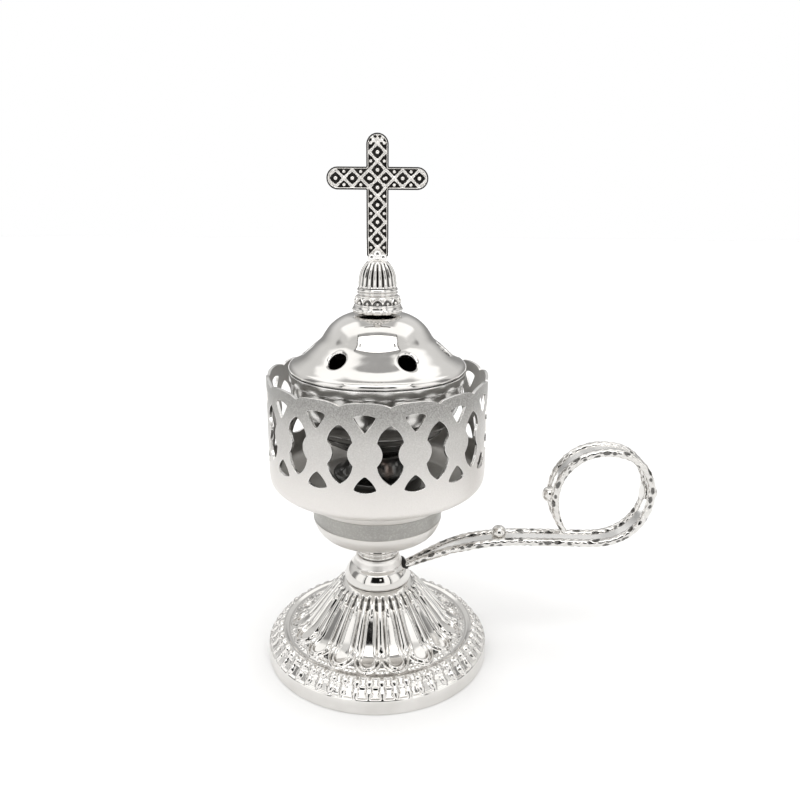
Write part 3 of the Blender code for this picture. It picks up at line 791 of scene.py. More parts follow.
def lower_cup():
    low, high, _ = node_span("lower_cup")
    flare = smooth_curve([(24.2, high - 0.3), (23.8, 59.1), (23.2, 57.9), (22.8, 57.2)], 6)
    band = [(22.5, 56.9), (22.1, 55.0), (21.5, 52.4), (21.3, 51.3)]
    bowl = smooth_curve([(21.5, 51.0), (21.0, 49.2), (19.7, 46.8), (17.4, 45.0), (13.6, 43.9),
                         (8.6, low + 0.05), (6.4, low)], 8)
    inner = smooth_curve([(8.0, low + 0.8), (13.0, 45.1), (16.4, 46.0), (18.6, 47.7), (20.0, 50.0),
                          (20.7, 52.0), (21.2, 57.5), (23.2, high)], 5)
    outer = spaced(np.vstack([flare, band, bowl]), 0.28)
    outer[:, 0] -= sum(ridge(outer[:, 1] - height, 0.16, 0.07) for height in (51.15, 53.2, 55.4))
    profile = np.vstack([outer, [(BORE, low), (BORE, low + 0.8)], inner])
    metal = spun_silver("spun_satin_silver", (0.73, 0.71, 0.685), (0.37, 0.362, 0.343), 51.2, 57.0)
    cup = turned("lower_cup_spinning", profile, COLUMNS, [metal], sharp=35.0)
    seat(cup, "stand", "satin_silver", "lower_cup")


# ---- basket ----
WINDOWS = 15
WINDOW_AZIMUTH = 6.0           # of the window nearest the front
BASKET_SHEET = 0.9
PIERCED_LOW = 70.0             # the wall is plain below this height
RIM_CREST = 100.1
RIM_VALLEY = 98.2


def lens(centre):
    """Outline of one window: a pointed oval with a round boss bitten out of each side."""
    right = np.vstack([arc((0, 93.6), (3.85, 88.3), 0.75, 10), arc((3.85, 88.3), (3.9, 81.3), -1.55, 12),
                       arc((3.9, 81.3), (0, 75.5), 0.85, 10)])
    return np.vstack([right, [(0, 75.5)], right[1:][::-1] * (-1, 1)]) + (centre, 0)


def bowed_triangle(centre, *sides):
    """Outline of a small opening from its bowed sides (from, to, bow, steps)."""
    corners = [(x, y, 0.35) for x, y in np.vstack([arc(*side) for side in sides])]
    return filleted(corners, closed=True, steps=1) + (centre, 0)


def drop(centre):
    """Upper opening: a triangle hanging from an arched top edge."""
    left, right, foot = (-3.3, 95.9), (3.3, 95.9), (0, 91.1)
    return bowed_triangle(centre, (left, right, 0.75, 12), (right, foot, 0.15, 8), (foot, left, 0.15, 8))


def bell(centre):
    """Lower opening: a bell-shaped triangle with a sagging lower edge."""
    top, left, right = (0, 78.3), (-3.4, 73.9), (3.4, 73.9)
    return bowed_triangle(centre, (top, right, 0.45, 8), (right, left, 0.8, 12), (left, top, 0.45, 8))


def basket_piece():
    low, _, wall = node_span("basket")
    per_degree = math.radians(wall)
    cell = 360.0 / WINDOWS * per_degree
    length = cell * WINDOWS
    seam = 6.4 * per_degree    # runs through solid metal at every height
    holes = []
    for k in range(WINDOWS + 1):
        for shape, centre in ((lens, k * cell), (drop, k * cell + cell / 2), (bell, k * cell + cell / 2)):
            if seam < centre < seam + length:
                holes.append(shape(centre)[::-1])
    xs = seam + np.linspace(0.0, length, WINDOWS * 20 + 1)
    share = np.abs((xs / cell) % 1.0 * 2.0 - 1.0)
    crest = RIM_VALLEY + (RIM_CREST - RIM_VALLEY) * np.sqrt(np.clip(1.0 - share ** 2.2, 0.0, 1.0)) ** 0.9
    pierced = triangulate(strip_outline(xs, PIERCED_LOW, crest, 30), holes, 1.0)

    shell = np.vstack([[(wall, PIERCED_LOW)], smooth_curve([
        (wall, 69.0), (wall - 0.1, 67.2), (wall - 0.4, 65.6), (wall - 1.3, 64.3),
        (wall - 2.7, 63.3), (30.0, 62.1), (26.8, low)], 5), [(24.0, low), (12.0, low), (BORE, low)]])
    depth = PIERCED_LOW - run_along(shell)
    flat, tris = weld([pierced, flat_grid(xs, depth)], length)
    inset = shell - normals(shell) * BASKET_SHEET
    inset[-1, 0] = shell[-1, 0]

    def turn(points, section):
        angle = np.radians(points[:, 0] / per_degree + WINDOW_AZIMUTH - 90.0)
        v = points[:, 1]
        radius, height = (np.interp(v, depth[::-1], section[::-1, k]) for k in (0, 1))
        return swing(radius, angle, np.where(v > PIERCED_LOW, v, height))

    metal = blasted_silver("sand_blasted_silver", 66.0, 88.0)
    basket = sheet_solid("basket_pierced_sheet", flat, tris, lambda p: turn(p, shell),
                         lambda p: turn(p, inset), [metal, HIGHLIGHT_CHROME, INNER_SATIN], bevel=0.26)
    seat(basket, "stand", "satin_silver", "basket")


# ---- fire cup and lid ----
def fire_cup():
    low, high, rim = node_span("fire_cup")
    inner = smooth_curve([(0.0, 76.6), (8.0, 76.8), (14.5, 78.6), (18.9, 81.3), (22.4, 85.6),
                          (25.0, 89.9), (26.3, 94.2), (26.8, 99.2), (27.2, high - 0.3)], 6)[:-1]
    lip = filleted([(27.2, high - 0.3), (27.3, high, 0.25), (rim, high, 0.3), (rim, 98.7, 0.3),
                    (27.45, 98.1, 0.2)], steps=4)
    outer = smooth_curve([(27.4, 97.8), (27.3, 94.0), (26.0, 89.5), (24.6, 86.9), (23.2, 84.9),
                          (19.6, 80.7), (15.2, 77.7), (11.4, 76.0), (9.7, 74.6), (9.4, 73.0),
                          (10.2, 70.4), (12.0, 68.0), (13.9, 66.9)], 8)
    rows = spaced(outer, 0.3)
    for height in (84.6, 82.2, 79.4, 77.6):
        rows[:, 0] += ridge(rows[:, 1] - height, 0.22, 0.32)
    foot = filleted([(13.9, 66.9), (14.6, 66.4, 0.5), (14.6, low, 0.3), (13.6, low, 0.3),
                     (13.6, 65.2, 0.5), (8.4, 72.0, 2.0), (0.0, 74.6)], steps=4)[1:]
    profile = np.vstack([inner, lip, rows, foot])
    cup = turned("fire_cup_spinning", profile, COLUMNS, [SHADED_STEEL, SHADED_INNER], closed=False, sharp=35.0)
    for face in cup.data.polygons:
        outward = face.normal.x * face.center.x + face.normal.y * face.center.y
        in_bowl = face.center.z > 76.2 * MM and face.center.z < (high - 0.4) * MM
        face.material_index = int(in_bowl and (outward < 0.0 or face.normal.z > 0.7))
    seat(cup, "fire_cup", "dark_steel", "fire_cup")


LID_HOLES = 6
LID_HOLE_AZIMUTH = 25.0
LID_HOLE_RADIUS = 3.0
LID_HOLE_RING = 21.3           # radius of the ring that the holes stand on
LID_SHEET = 0.9
LID_DOME = ((1.9, 118.9), (5.0, 118.85), (8.6, 118.7), (10.6, 118.2), (13.0, 116.9), (15.0, 115.2),
            (16.5, 113.3), (18.0, 111.1), (20.0, 109.2), (22.0, 107.4), (24.0, 105.6),
            (26.0, 104.3), (27.4, 103.6))


def lid_piece():
    low, _, rim = node_span("lid")
    dome = smooth_curve(LID_DOME, 12)
    lip = filleted([(27.4, 103.6), (28.0, 103.1, 0.4), (rim, 102.4, 0.5), (rim - 0.05, 101.75, 0.2)],
                   steps=5)[1:]
    section = spaced(np.vstack([dome, lip]), 0.35)
    normal = normals(section)
    run = run_along(section)
    middle = float(np.interp(LID_HOLE_RING, section[:, 0], run))
    per_degree = math.radians(LID_HOLE_RING)
    length = 360.0 * per_degree
    first, last = middle - 4.6, middle + 4.6
    centres = [(k + 0.5) * 360.0 / LID_HOLES for k in range(LID_HOLES)]
    angle = turn_angles(48)
    v = middle + LID_HOLE_RADIUS * np.sin(angle)
    reach = LID_HOLE_RADIUS * np.cos(angle) * LID_HOLE_RING / np.interp(v, run, section[:, 0])
    holes = [pairs(centre * per_degree + reach, v) for centre in centres]
    xs = np.linspace(0.0, length, COLUMNS + 1)
    shoulder = triangulate(strip_outline(xs, first, 0 * xs + last, 14), holes, 0.62)
    above = flat_grid(xs, np.concatenate([np.arange(0.0, first, 0.45), [first]]))
    below = flat_grid(xs, np.concatenate([[last], np.arange(last + 0.35, run[-1], 0.35), [run[-1]]]))
    flat, tris = weld([above, shoulder, below], length)

    def turn(points, sink):
        v = points[:, 1]
        degrees = points[:, 0] / per_degree
        radius, height = (np.interp(v, run, section[:, k]) for k in (0, 1))
        away = np.full(len(points), 99.0)
        for centre in centres:
            x = (degrees - centre) * DEGREE * radius
            away = np.minimum(away, np.hypot(x, v - middle) - LID_HOLE_RADIUS)
        dimple = 0.38 * np.clip(1.0 - away / 0.75, 0.0, 1.0) ** 2 + sink
        radius = radius - np.interp(v, run, normal[:, 0]) * dimple
        height = height - np.interp(v, run, normal[:, 1]) * dimple
        return swing(radius, np.radians(degrees - 30.0 + LID_HOLE_AZIMUTH - 90.0), height)

    lid = sheet_solid("lid_pressing", flat, tris, lambda p: turn(p, 0.0),
                      lambda p: turn(p, LID_SHEET), [CHROME, HIGHLIGHT_CHROME, SHADED_INNER], bevel=0.12)
    spigot = filleted([(26.1, 102.3, 0.3), (25.95, low, 0.3), (25.1, low, 0.3), (25.0, 103.8, 0.3),
                       (26.3, 103.0, 0.2)], closed=True, steps=3)
    seat(lid, "lid", "polished_chrome", "lid")
    seat(turned("lid_spigot", spigot, COLUMNS, [CHROME]), "lid", "polished_chrome")


# ---- finial ----
FESTOONS = 14
FESTOON_RADIUS = 7.0
FLUTES = 20
SCREW_BORE = 2.0               # of the castings on the lid screw
# round petals that clip the cross: sideways, above the bell, radius
CLASP_PETALS = ((0.0, 0.8, 1.5), (-1.75, -0.1, 1.3), (1.75, -0.1, 1.3))


def finial():
    low, high, _ = node_span("finial_base")
    outer = smooth_curve([(6.1, high), (6.35, 126.7), (6.3, 126.3), (5.95, 126.1), (6.3, 125.85),
                          (6.3, 125.4), (5.95, 125.1), (6.5, 124.7), (6.95, 123.6), (7.05, 122.5),
                          (7.0, 121.95), (7.4, 121.8), (7.55, 121.4), (7.8, 120.8), (7.7, 120.2),
                          (7.2, 119.7), (6.3, low)], 8)
    rows = spaced(outer, 0.14)
    columns = FESTOONS * 32
    azimuth = np.arange(columns) * 360.0 / columns + 90.0
    pitch = 360.0 / FESTOONS
    off = np.abs((azimuth + pitch / 2) % pitch - pitch / 2)[None, :] * DEGREE * FESTOON_RADIUS
    height = rows[:, 1][:, None]
    half = math.radians(pitch / 2) * FESTOON_RADIUS
    swag = 124.5 - 1.7 * (off / half) ** 2
    lift = bead(np.abs(height - swag), 0.32, 0.30) * window(height, 122.5, 124.5, 0.1)
    lift = lift + bead(np.hypot(off, height - 122.95), 0.48, 0.55)
    lift = lift + bead(np.hypot(off - half, height - 124.1), 0.32, 0.30)
    lift = lift - 0.32 * smoothstep(swag - height, 0.35, 0.6) * window(height, 122.45, 124.2, 0.1) * (
        np.hypot(off, height - 122.95) > 0.48)
    lift = lift + 0.22 * np.abs(np.cos(np.radians(azimuth * FESTOONS / 2)))[None, :] * window(
        height, 119.6, 120.7, 0.4)
    profile = np.vstack([rows, [(SCREW_BORE, low), (SCREW_BORE, high)]])
    lifts = np.vstack([lift, np.zeros((2, columns))])
    # painted shade: the relief attribute darkens the grooves round the festoons
    base = turned("finial_base_casting", profile, columns, [EMBOSSED], lift=lifts,
                  relief=np.vstack([0.46 + 2.2 * lift, np.ones((2, columns))]), sharp=50.0)
    seat(base, "lid", "polished_chrome", "finial_base")

    low, high, _ = node_span("finial_bell")
    outer = smooth_curve([(1.3, high - 0.05), (2.6, high - 0.45), (3.7, 134.7), (4.9, 133.0),
                          (5.6, 131.2), (5.9, 129.4), (6.0, 128.2), (5.9, low)], 10)
    rows = spaced(outer, 0.22)
    columns = FLUTES * 16
    azimuth = np.arange(columns) * 360.0 / columns
    wave = np.abs(np.sin(np.radians(azimuth * FLUTES / 2)))[None, :] ** 0.8
    height = rows[:, 1][:, None]
    depth = 0.85 * window(height, 128.3, 134.4, 0.9) * rows[:, :1] / 5.8
    profile = np.vstack([[(0.0, high)], rows, [(SCREW_BORE, low), (SCREW_BORE, 131.0), (0.0, 131.0)]])
    lifts = np.vstack([np.zeros((1, columns)), -depth * (1.0 - wave), np.zeros((3, columns))])
    # painted shade: the relief attribute darkens the flutes
    bell = turned("finial_bell_casting", profile, columns, [EMBOSSED], lift=lifts, closed=False,
                  relief=0.80 + 1.7 * lifts, sharp=50.0)
    seat(bell, "lid", "polished_chrome", "finial_bell")
    seat(clasp(high), "lid", "polished_chrome")


def clasp(top):
    """Three round petals that clip the foot of the cross, in front and behind."""
    parts = []
    for side in (-1.0, 1.0):
        for x, z, size in CLASP_PETALS:
            bm = bmesh.new()
            bmesh.ops.create_uvsphere(bm, u_segments=32, v_segments=20, radius=size * MM)
            for vert in bm.verts:
                vert.co.y *= 0.55
                vert.co.z *= 1.15
                vert.co += Vector((x * MM, side * 1.25 * MM, (top + z) * MM))
            mesh = bpy.data.meshes.new("clasp")
            bm.to_mesh(mesh)
            bm.free()
            mesh.shade_smooth()
            parts.append(place_mesh("clasp", mesh, [HIGHLIGHT_CHROME]))
    return joined("finial_clasp", parts)


# ---- cross ----
CROSS_ARM_SHARE = 0.644        # height of the arms as a share of the cross
CROSS_HALF = 3.3               # half the width of an arm
CROSS_CORNER = 1.1             # radius at the foot
CROSS_DIAMONDS = 6
CROSS_RIM = 0.62               # width of the raised border
CROSS_FLOOR = -0.42            # of the pattern, below the bars


def cross_piece():
    low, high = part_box("cross")
    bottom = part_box("finial_bell")[1].z / MM + 0.3
    top, reach = high.z / MM, high.x / MM
    half = CROSS_HALF
    arm = bottom + CROSS_ARM_SHARE * (top - bottom)

    inset = half - CROSS_CORNER

    def bow(cx, cz, start, sweep=180.0, count=33, radius=half):
        t = np.radians(start + np.linspace(0.0, sweep, count))
        return pairs(cx + radius * np.cos(t), cz + radius * np.sin(t))

    foot = [bow(side * inset, bottom + CROSS_CORNER, start, 90.0, 9, CROSS_CORNER)
            for side, start in ((-1.0, 180.0), (1.0, 270.0))]
    outline = np.vstack([
        *foot, [(half, arm - half)], bow(reach - half, arm, -90.0), [(half, arm + half)],
        bow(0.0, top - half, 0.0), [(-half, arm + half)], bow(half - reach, arm, 90.0),
        [(-half, arm - half)]])
    outline = spaced(np.vstack([outline, outline[:1]]), 0.22)[:-1]
    flat, tris = triangulate(outline, [], 0.19)
    x, z = flat[:, 0], flat[:, 1]
    edge = path_distance(x, z, np.vstack([outline, outline[:1]]))

    lift = np.full(len(flat), CROSS_FLOOR)
    field = smoothstep(edge, CROSS_RIM, CROSS_RIM + 0.2)
    pitch = (top - bottom - 2.2) / (CROSS_DIAMONDS + 0.72)
    upright = [top - 3.6 - pitch * 0.36 - pitch * k for k in range(CROSS_DIAMONDS)]
    side_pitch = (2 * reach - 2.6) / 5.55
    ends = [(0.0, upright[0] + pitch), (0.0, upright[-1] - pitch)]
    ends += [(-3.5 * side_pitch, arm), (3.5 * side_pitch, arm)]
    centres = [(0.0, cz) for cz in upright] + ends
    centres += [((k - 2.5) * side_pitch, arm) for k in range(CROSS_DIAMONDS)]
    along = np.abs(x) <= half
    for cx, cz in centres:
        flat_one = cz == arm and cx != 0.0
        rx, rz = (side_pitch * 0.5, 2.45) if flat_one else (2.45, pitch * 0.5)
        zone = (np.abs(x) > 2.0) if flat_one else along
        norm = np.abs(x - cx) / rx + np.abs(z - cz) / rz
        off = (norm - 1.0) * min(rx, rz) * 0.72
        bar = (bead(np.abs(off), 0.54, 0.56) - ridge(off, 0.12, 0.26)) * zone
        lift = np.maximum(lift, np.where(field > 0, bar + CROSS_FLOOR, lift))
        ball = bead(np.hypot(x - cx, z - cz), 0.72, 0.80) * zone
        lift = np.maximum(lift, ball - 0.40 * (ball > 0) + CROSS_FLOOR * (ball <= 0))

    def add_domes(places, reach, width, height, base):
        nonlocal lift
        for px, pz in places:
            spot = np.hypot(x - px, z - pz)
            dome = bead(spot, width, height) + base
            lift = np.maximum(lift, np.where(spot < reach, dome, CROSS_FLOOR))

    studs = [(side * 2.0, cz + step * pitch) for cz in upright for side in (-1, 1) for step in (-0.5, 0.5)]
    studs += [(k * side_pitch, arm + side * 1.9) for k in (-3, -2, -1, 1, 2, 3) for side in (-1, 1)]
    studs += [(0.0, top - 1.5), (-1.3, top - 2.2), (1.3, top - 2.2)]
    add_domes(studs, 0.6, 0.6, 0.66, -0.40)
    crossings = [(0.0, cz + step * pitch) for cz in upright for step in (-0.5, 0.5)]
    crossings += [(side * 1.22, cz + step * pitch / 4)
                  for cz in upright for side in (-1, 1) for step in (-1, 1)]
    crossings += [(k * side_pitch, arm) for k in (-3, -2, -1, 1, 2, 3)]
    crossings += [((k + step / 4) * side_pitch, arm + side * 1.22)
                  for k in (-2.5, -1.5, 1.5, 2.5) for side in (-1, 1) for step in (-1, 1)]
    add_domes(crossings, 0.40, 0.42, 0.50, -0.08)
    rim = bead(np.abs(edge - CROSS_RIM * 0.52), CROSS_RIM * 0.62, 0.34)
    lift = np.where(edge < CROSS_RIM, np.maximum(rim - 0.12, lift * field), lift)
    shade = np.clip((lift - CROSS_FLOOR) / 0.62, 0.0, 1.0)
    # painted reflection: the outer 0.2 mm of the border goes dark and the rest grey, with a painted
    # highlight line about 0.56 mm in
    border = smoothstep(edge, 0.20, 0.40) * (0.37 + 0.5 * ridge(edge - 0.56, 0.12, 1.0))
    shade = np.where(edge < CROSS_RIM, border, shade)
    thick = (high.y - low.y) / 2 / MM - 0.22

    def face(points, side):
        return np.stack([points[:, 0], side * (thick + lift), points[:, 1]], 1)

    cross = sheet_solid("cross_casting", flat, tris, lambda p: face(p, -1.0), lambda p: face(p, 1.0),
                        [ANTIQUE], relief=shade, sharp=55.0)
    seat(cross, "lid", "antique_silver", "cross")


# ---- handle ----
HANDLE_PATH = (
    (7.2, 31.2), (9.5, 31.9), (13.0, 33.4), (18.0, 35.7), (24.5, 38.4),
    (31.2, 40.2), (38.0, 41.3), (45.0, 41.8), (52.0, 41.7), (60.0, 41.5),
    (68.0, 41.2), (75.0, 41.2), (80.5, 42.3), (85.6, 45.3), (89.4, 50.2),
    (91.2, 56.4), (90.8, 62.6), (88.0, 68.2), (83.6, 71.9), (78.4, 73.5),
    (72.6, 73.5), (67.3, 71.7), (62.9, 68.0), (60.1, 63.2), (59.1, 57.8),
    (59.7, 52.6), (61.3, 48.2), (63.4, 44.5),
)
RAIL = 1.42                    # radius of a rail
RAIL_SPREAD = 3.6              # middle of the ribbon to the middle of a rail
ROOT_SPREAD = 1.25             # the same at the knob
BALLS = ((41.4, 43.4), (58.0, 57.6), (91.9, 58.0))
BALL_SCALE = 1.15
FLECK_PITCH = 3.3


def ribbon_frame():
    """Points of the ribbon's middle every third of a millimetre, with their normals,
    run along the ribbon and half the distance between the rails.
    """
    path = spaced(smooth_curve(HANDLE_PATH, 16), 0.33)
    run = run_along(path)
    start = smoothstep(run, 3.0, 27.0)
    finish = 1.0 - 0.55 * smoothstep(run, run[-1] - 12.0, run[-1])
    spread = (ROOT_SPREAD + (RAIL_SPREAD - ROOT_SPREAD) * start) * finish
    return path, normals(path), run, spread


def rail(side, frame_data):
    """One rail: a cast cord of slanting strokes and bark-like knots."""
    path, normal, run, spread = frame_data
    angle = turn_angles(28)
    s = run[:, None]
    twist = np.sin(3.0 * angle + side * s * 2.3)
    number = np.floor(s / FLECK_PITCH + 0.25 * side)
    aim = 1.9 * np.sin(number * 2.4 + side) + 0.9

    def dents(start, length, turn, width):
        """Dents one pitch apart, each turned its own way round the cord."""
        along = (s / FLECK_PITCH + start + 0.25 * side) % 1.0 - 0.5
        reach = np.hypot(along * FLECK_PITCH / length, ((turn + np.pi) % math.tau - np.pi) / width)
        return np.clip(1.0 - reach ** 2, 0.0, 1.0)

    flecks = np.maximum(dents(0.0, 1.4, angle - aim, 0.62), 0.7 * dents(0.75, 0.9, angle - 2.6 + aim, 0.5))
    scale = RAIL * (0.70 + 0.30 * smoothstep(s, 0.0, 14.0)) * (1.0 - 0.25 * smoothstep(
        s, run[-1] - 9.0, run[-1]))
    carve = 0.05 * twist - 0.17 * flecks
    radius = scale * (0.95 + carve)
    across = side * (spread[:, None] + radius * np.cos(angle))
    out = radius * np.sin(angle)
    grid = np.stack([path[:, :1] + normal[:, :1] * out, across, path[:, 1:] + normal[:, 1:] * out], -1)
    # painted shade: grey between the twisted strands and dark in the dents, carried by the relief
    # attribute
    painted_shade = np.clip(0.58 + 0.16 * twist - 1.7 * flecks, 0.0, 1.0)
    grid, painted_shade = capped(grid)[::-1], np.concatenate([painted_shade[:1], painted_shade, painted_shade[-1:]])[::-1]
    if side > 0:
        grid, painted_shade = grid[:, ::-1], painted_shade[:, ::-1]
    return skin("rail", grid, [EMBOSSED], relief=painted_shade, sharp=60.0)


def web(frame_data):
    """Smooth strip between the rails."""
    path, normal, _, spread = frame_data
    shares = np.array([-1.0, -0.6, -0.2, 0.2, 0.6, 1.0])
    bulge = 0.42 + 0.10 * (1 - shares * shares)
    share, out = np.append(shares, shares[::-1]), np.append(bulge, -bulge[::-1])
    grid = np.stack([path[:, :1] + normal[:, :1] * out, spread[:, None] * share,
                     path[:, 1:] + normal[:, 1:] * out], -1)
    return skin("web", capped(grid), [HIGHLIGHT_CHROME], sharp=50.0)


def ball(place, path):
    """Cast ball standing on a small ringed seat across the ribbon."""
    near = int(np.argmin(np.hypot(path[:, 0] - place[0], path[:, 1] - place[1])))
    out = np.array(place) - path[near]
    out /= np.linalg.norm(out)
    profile = smooth_curve([(0.0, 2.3), (1.2, 1.96), (2.0, 1.15), (2.3, 0.0), (2.0, -1.15),
                            (1.75, -1.5)], 6)
    seat_ring = smooth_curve([(2.3, -1.7), (2.5, -2.0), (2.3, -2.35), (1.6, -2.5), (0.0, -2.5)], 5)
    up = np.array([out[0], 0.0, out[1]])
    side = np.array([0.0, 1.0, 0.0])
    points = revolve(np.vstack([profile, seat_ring]), 40)
    points = BALL_SCALE * points @ np.stack([np.cross(side, up), side, up]) + (place[0], 0.0, place[1])
    return skin("ball", points, [CHROME], sharp=60.0)


def handle_piece():
    data = ribbon_frame()
    parts = [rail(1.0, data), rail(-1.0, data), web(data)] + [ball(place, data[0]) for place in BALLS]
    handle = joined("handle_ribbon_casting", parts)
    seat(root_shadow_pad(), "stand", "antique_silver")
    seat(handle, "stand", "polished_chrome", "handle")


def root_shadow_pad():
    """Dark pad, a painted shadow round the root of the handle, on the shoulder of the knob."""
    profile = filleted([(0.0, 0.6), (1.9, 0.5, 0.5), (2.5, -0.4, 0.4), (2.3, -1.6), (0.0, -1.6)], steps=4)
    lean = np.array(Matrix.Rotation(math.radians(62.0), 3, 'Y'))
    points = (revolve(profile, 40) * (0.9, 1.9, 1.0)) @ lean.T + (9.5, 0.0, 32.0)
    points[..., 0] -= points[..., 1] ** 2 / 18.6           # bowed round the knob
    # the oxidised silver finds no relief here, so the pad shows near black: painted shadow
    return skin("handle_root_painted_shadow", points, [ANTIQUE], sharp=60.0)


foot_piece()
hardware()
stem()
lower_cup()
basket_piece()
fire_cup()
lid_piece()
finial()
cross_piece()
handle_piece()


# ---- floor, light and camera ----
def make_floor():
    mesh = bpy.data.meshes.new("studio_floor")
    bm = bmesh.new()
    bmesh.ops.create_grid(bm, x_segments=8, y_segments=8, size=1.6)
    bm.to_mesh(mesh)
    bm.free()
    n = Metal("white_sweep")
    white = n.cloud(n.noise(30.0, 2.0), 0.3, 0.7, (0.81, 0.81, 0.81), (0.83, 0.83, 0.83))
    place_mesh("studio_floor", mesh, [n.finish(white, 0.9, metallic=0.0)])


def area_light(name, place, aim, size, watts):
    """Soft panel that is not seen by the camera or in reflections."""
    data = bpy.data.lights.new(name, 'AREA')
    data.shape = 'RECTANGLE'
    data.size, data.size_y = size[0] * MM, size[1] * MM
    data.energy = watts
    lamp = bpy.data.objects.new(name, data)
    lamp.location = Vector(place) * MM
    lamp.rotation_mode = 'QUATERNION'
    lamp.rotation_quaternion = (Vector(aim) - Vector(place)).to_track_quat('-Z', 'Y')
    lamp.visible_glossy = False
    lamp.visible_camera = False
    bpy.context.scene.collection.objects.link(lamp)


TENT_TINT = (1.0, 0.995, 0.985)


class Studio(Graph):
    """World nodes: a white light tent with ceiling panels and a dark gap at the front."""

    def __init__(self):
        world = bpy.data.worlds.new("light_tent")
        bpy.context.scene.world = world
        world.use_nodes = True
        super().__init__(world.node_tree)
        self.tree.nodes.clear()
        way = self.add("ShaderNodeTexCoord", "Generated", {})
        x, y, z = (self.add("ShaderNodeSeparateXYZ", k, {0: way}) for k in range(3))
        front = self.maths('MULTIPLY', y, -1.0)
        self.azimuth = self.maths('MULTIPLY', self.maths('ARCTAN2', x, front), 180.0 / math.pi)
        self.elevation = self.maths('MULTIPLY', self.maths('ARCSINE', z), 180.0 / math.pi)
        up = self.maths('MAXIMUM', z, 0.02)
        self.across = self.maths('DIVIDE', x, up)         # on a ceiling one unit up
        self.ahead = self.maths('DIVIDE', front, up)
        self.level = None

    def step(self, value, low, high):
        return self.span(value, low, high, smooth=True)

    def band(self, value, low, high, soft):
        rise = self.step(value, low - soft, low + soft)
        fall = self.step(value, high - soft, high + soft)
        return self.maths('MULTIPLY', rise, self.maths('SUBTRACT', 1.0, fall))

    def paint(self, mask, brightness):
        """Blends the tent's brightness towards a new one inside a mask."""
        gap = self.maths('SUBTRACT', brightness, self.level)
        self.level = self.maths('ADD', self.level, self.maths('MULTIPLY', gap, mask))

    def patch(self, across, low_across, high_across, ahead, low_ahead, high_ahead, soft, brightness):
        """Paints a soft-edged rectangle."""
        self.paint(self.maths('MULTIPLY', self.band(across, low_across, high_across, soft),
                              self.band(ahead, low_ahead, high_ahead, soft)), brightness)

    def finish(self):
        """The tent lights the object, and the camera sees plain white behind it."""
        inputs = {k: self.maths('MULTIPLY', self.level, tint) for k, tint in enumerate(TENT_TINT)}
        shade = self.add("ShaderNodeCombineColor", 0, inputs)
        studio = self.add("ShaderNodeBackground", 0, {"Color": shade, "Strength": 1.0})
        white = self.add("ShaderNodeBackground", 0, {"Color": (1.0, 1.0, 1.0), "Strength": 1.0})
        path = self.add("ShaderNodeLightPath", "Is Camera Ray", {})
        mix = self.add("ShaderNodeMixShader", 0, {0: path, 1: studio, 2: white})
        out = self.tree.nodes.new("ShaderNodeOutputWorld")
        self.feed(out.inputs["Surface"], mix)


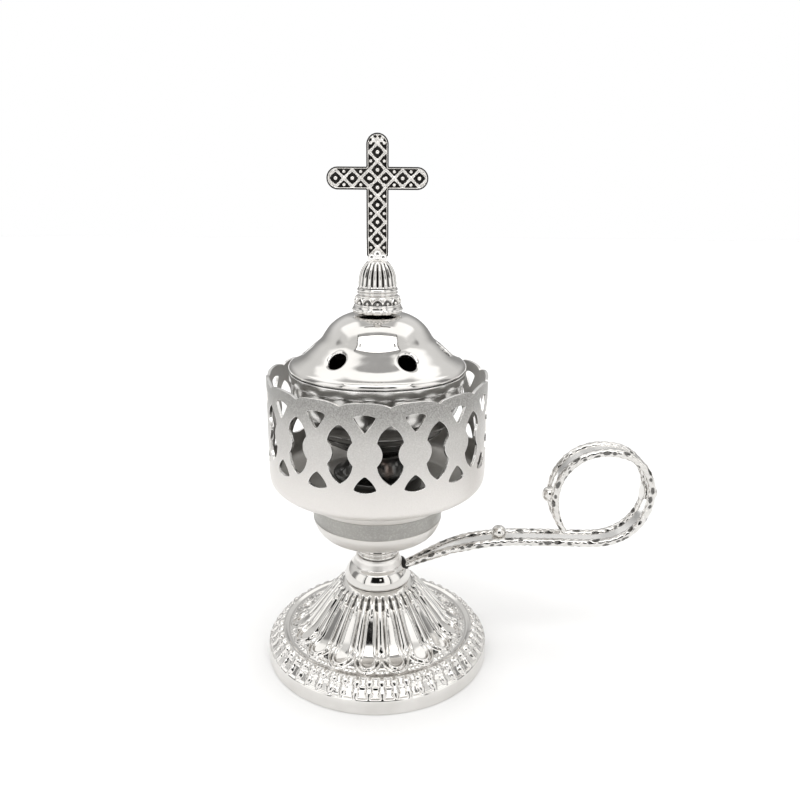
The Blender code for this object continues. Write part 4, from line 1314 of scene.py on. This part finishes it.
def light_tent():
    tent = Studio()
    az, el, across, ahead = tent.azimuth, tent.elevation, tent.across, tent.ahead
    side = tent.maths('ABSOLUTE', az)
    width = tent.maths('ABSOLUTE', across)
    taper = tent.maths('DIVIDE', width, tent.maths('ADD', 0.42, tent.maths('MULTIPLY', ahead, 0.42)))
    behind = tent.maths('MULTIPLY', tent.step(side, 100.0, 150.0), tent.maths(
        'SUBTRACT', 1.0, tent.step(el, 5.0, 28.0)))
    tent.level = tent.maths('SUBTRACT', 0.84, tent.maths('MULTIPLY', behind, 0.50))
    tent.patch(side, -1.0, 95.0, el, -20.0, 22.0, 8.0, 0.84)          # walls
    tent.paint(tent.step(el, 38.0, 70.0), 0.74)                       # ceiling
    # ceiling: panel overhead, grey strip behind it, bright panel in front with dark seams
    tent.patch(width, -1.0, 1.0, ahead, -0.9, 0.12, 0.12, 1.4)
    tent.patch(width, -1.0, 0.34, ahead, -4.0, -0.36, 0.06, 0.60)
    tent.patch(taper, -1.0, 1.1, ahead, 0.08, 0.25, 0.03, 0.46)
    tent.patch(taper, -1.0, 1.1, ahead, 0.25, 0.95, 0.02, 2.3)
    tent.patch(taper, 1.1, 1.17, ahead, 0.10, 0.95, 0.02, 0.06)
    tent.patch(taper, -1.0, 1.1, ahead, 0.23, 0.27, 0.01, 0.10)
    # front opening with the dark shape of the camera
    tent.patch(side, -9.0, 44.0, el, -2.0, 45.0, 1.5, 1.35)
    tent.patch(side, 44.0, 47.5, el, -6.0, 50.0, 0.8, 0.04)
    tent.patch(side, 52.0, 80.0, el, -4.0, 38.0, 4.0, 1.3)
    tent.patch(side, 84.0, 104.0, el, -8.0, 34.0, 4.0, 0.30)
    tent.patch(side, -9.0, 24.0, el, 8.0, 43.0, 2.0, 0.01)
    tent.patch(az, 8.0, 14.0, el, 24.0, 32.0, 1.0, 1.6)
    tent.finish()


def make_camera():
    """Photographer's place: a little above the lid, close in front."""
    pitch, yaw, roll = math.radians(16.59), math.radians(1.70), math.radians(0.46)
    sight = Vector((math.sin(yaw) * math.cos(pitch), math.cos(yaw) * math.cos(pitch), -math.sin(pitch)))
    level = Vector((math.cos(yaw), -math.sin(yaw), 0.0))
    above = level.cross(sight)
    right = level * math.cos(roll) + above * math.sin(roll)
    up = above * math.cos(roll) - level * math.sin(roll)
    data = bpy.data.cameras.new("camera")
    data.sensor_width = 36.0
    data.lens = 35.46
    data.clip_start, data.clip_end = 0.01, 20.0
    camera = bpy.data.objects.new("camera", data)
    place = Vector((0.0, -244.2, 163.5)) * MM
    camera.matrix_world = Matrix((
        (right.x, up.x, -sight.x, place.x), (right.y, up.y, -sight.y, place.y),
        (right.z, up.z, -sight.z, place.z), (0.0, 0.0, 0.0, 1.0)))
    bpy.context.scene.collection.objects.link(camera)
    bpy.context.scene.camera = camera


make_floor()
light_tent()
area_light("ceiling_panel", (0.0, -60.0, 620.0), (0.0, 0.0, 60.0), (520.0, 460.0), 1.25)
area_light("far_floor_panel", (0.0, 1150.0, 700.0), (0.0, 1150.0, 0.0), (1500.0, 900.0), 6.5)
make_camera()
bpy.context.scene.view_settings.view_transform = 'Standard'

bpy.context.view_layer.update()
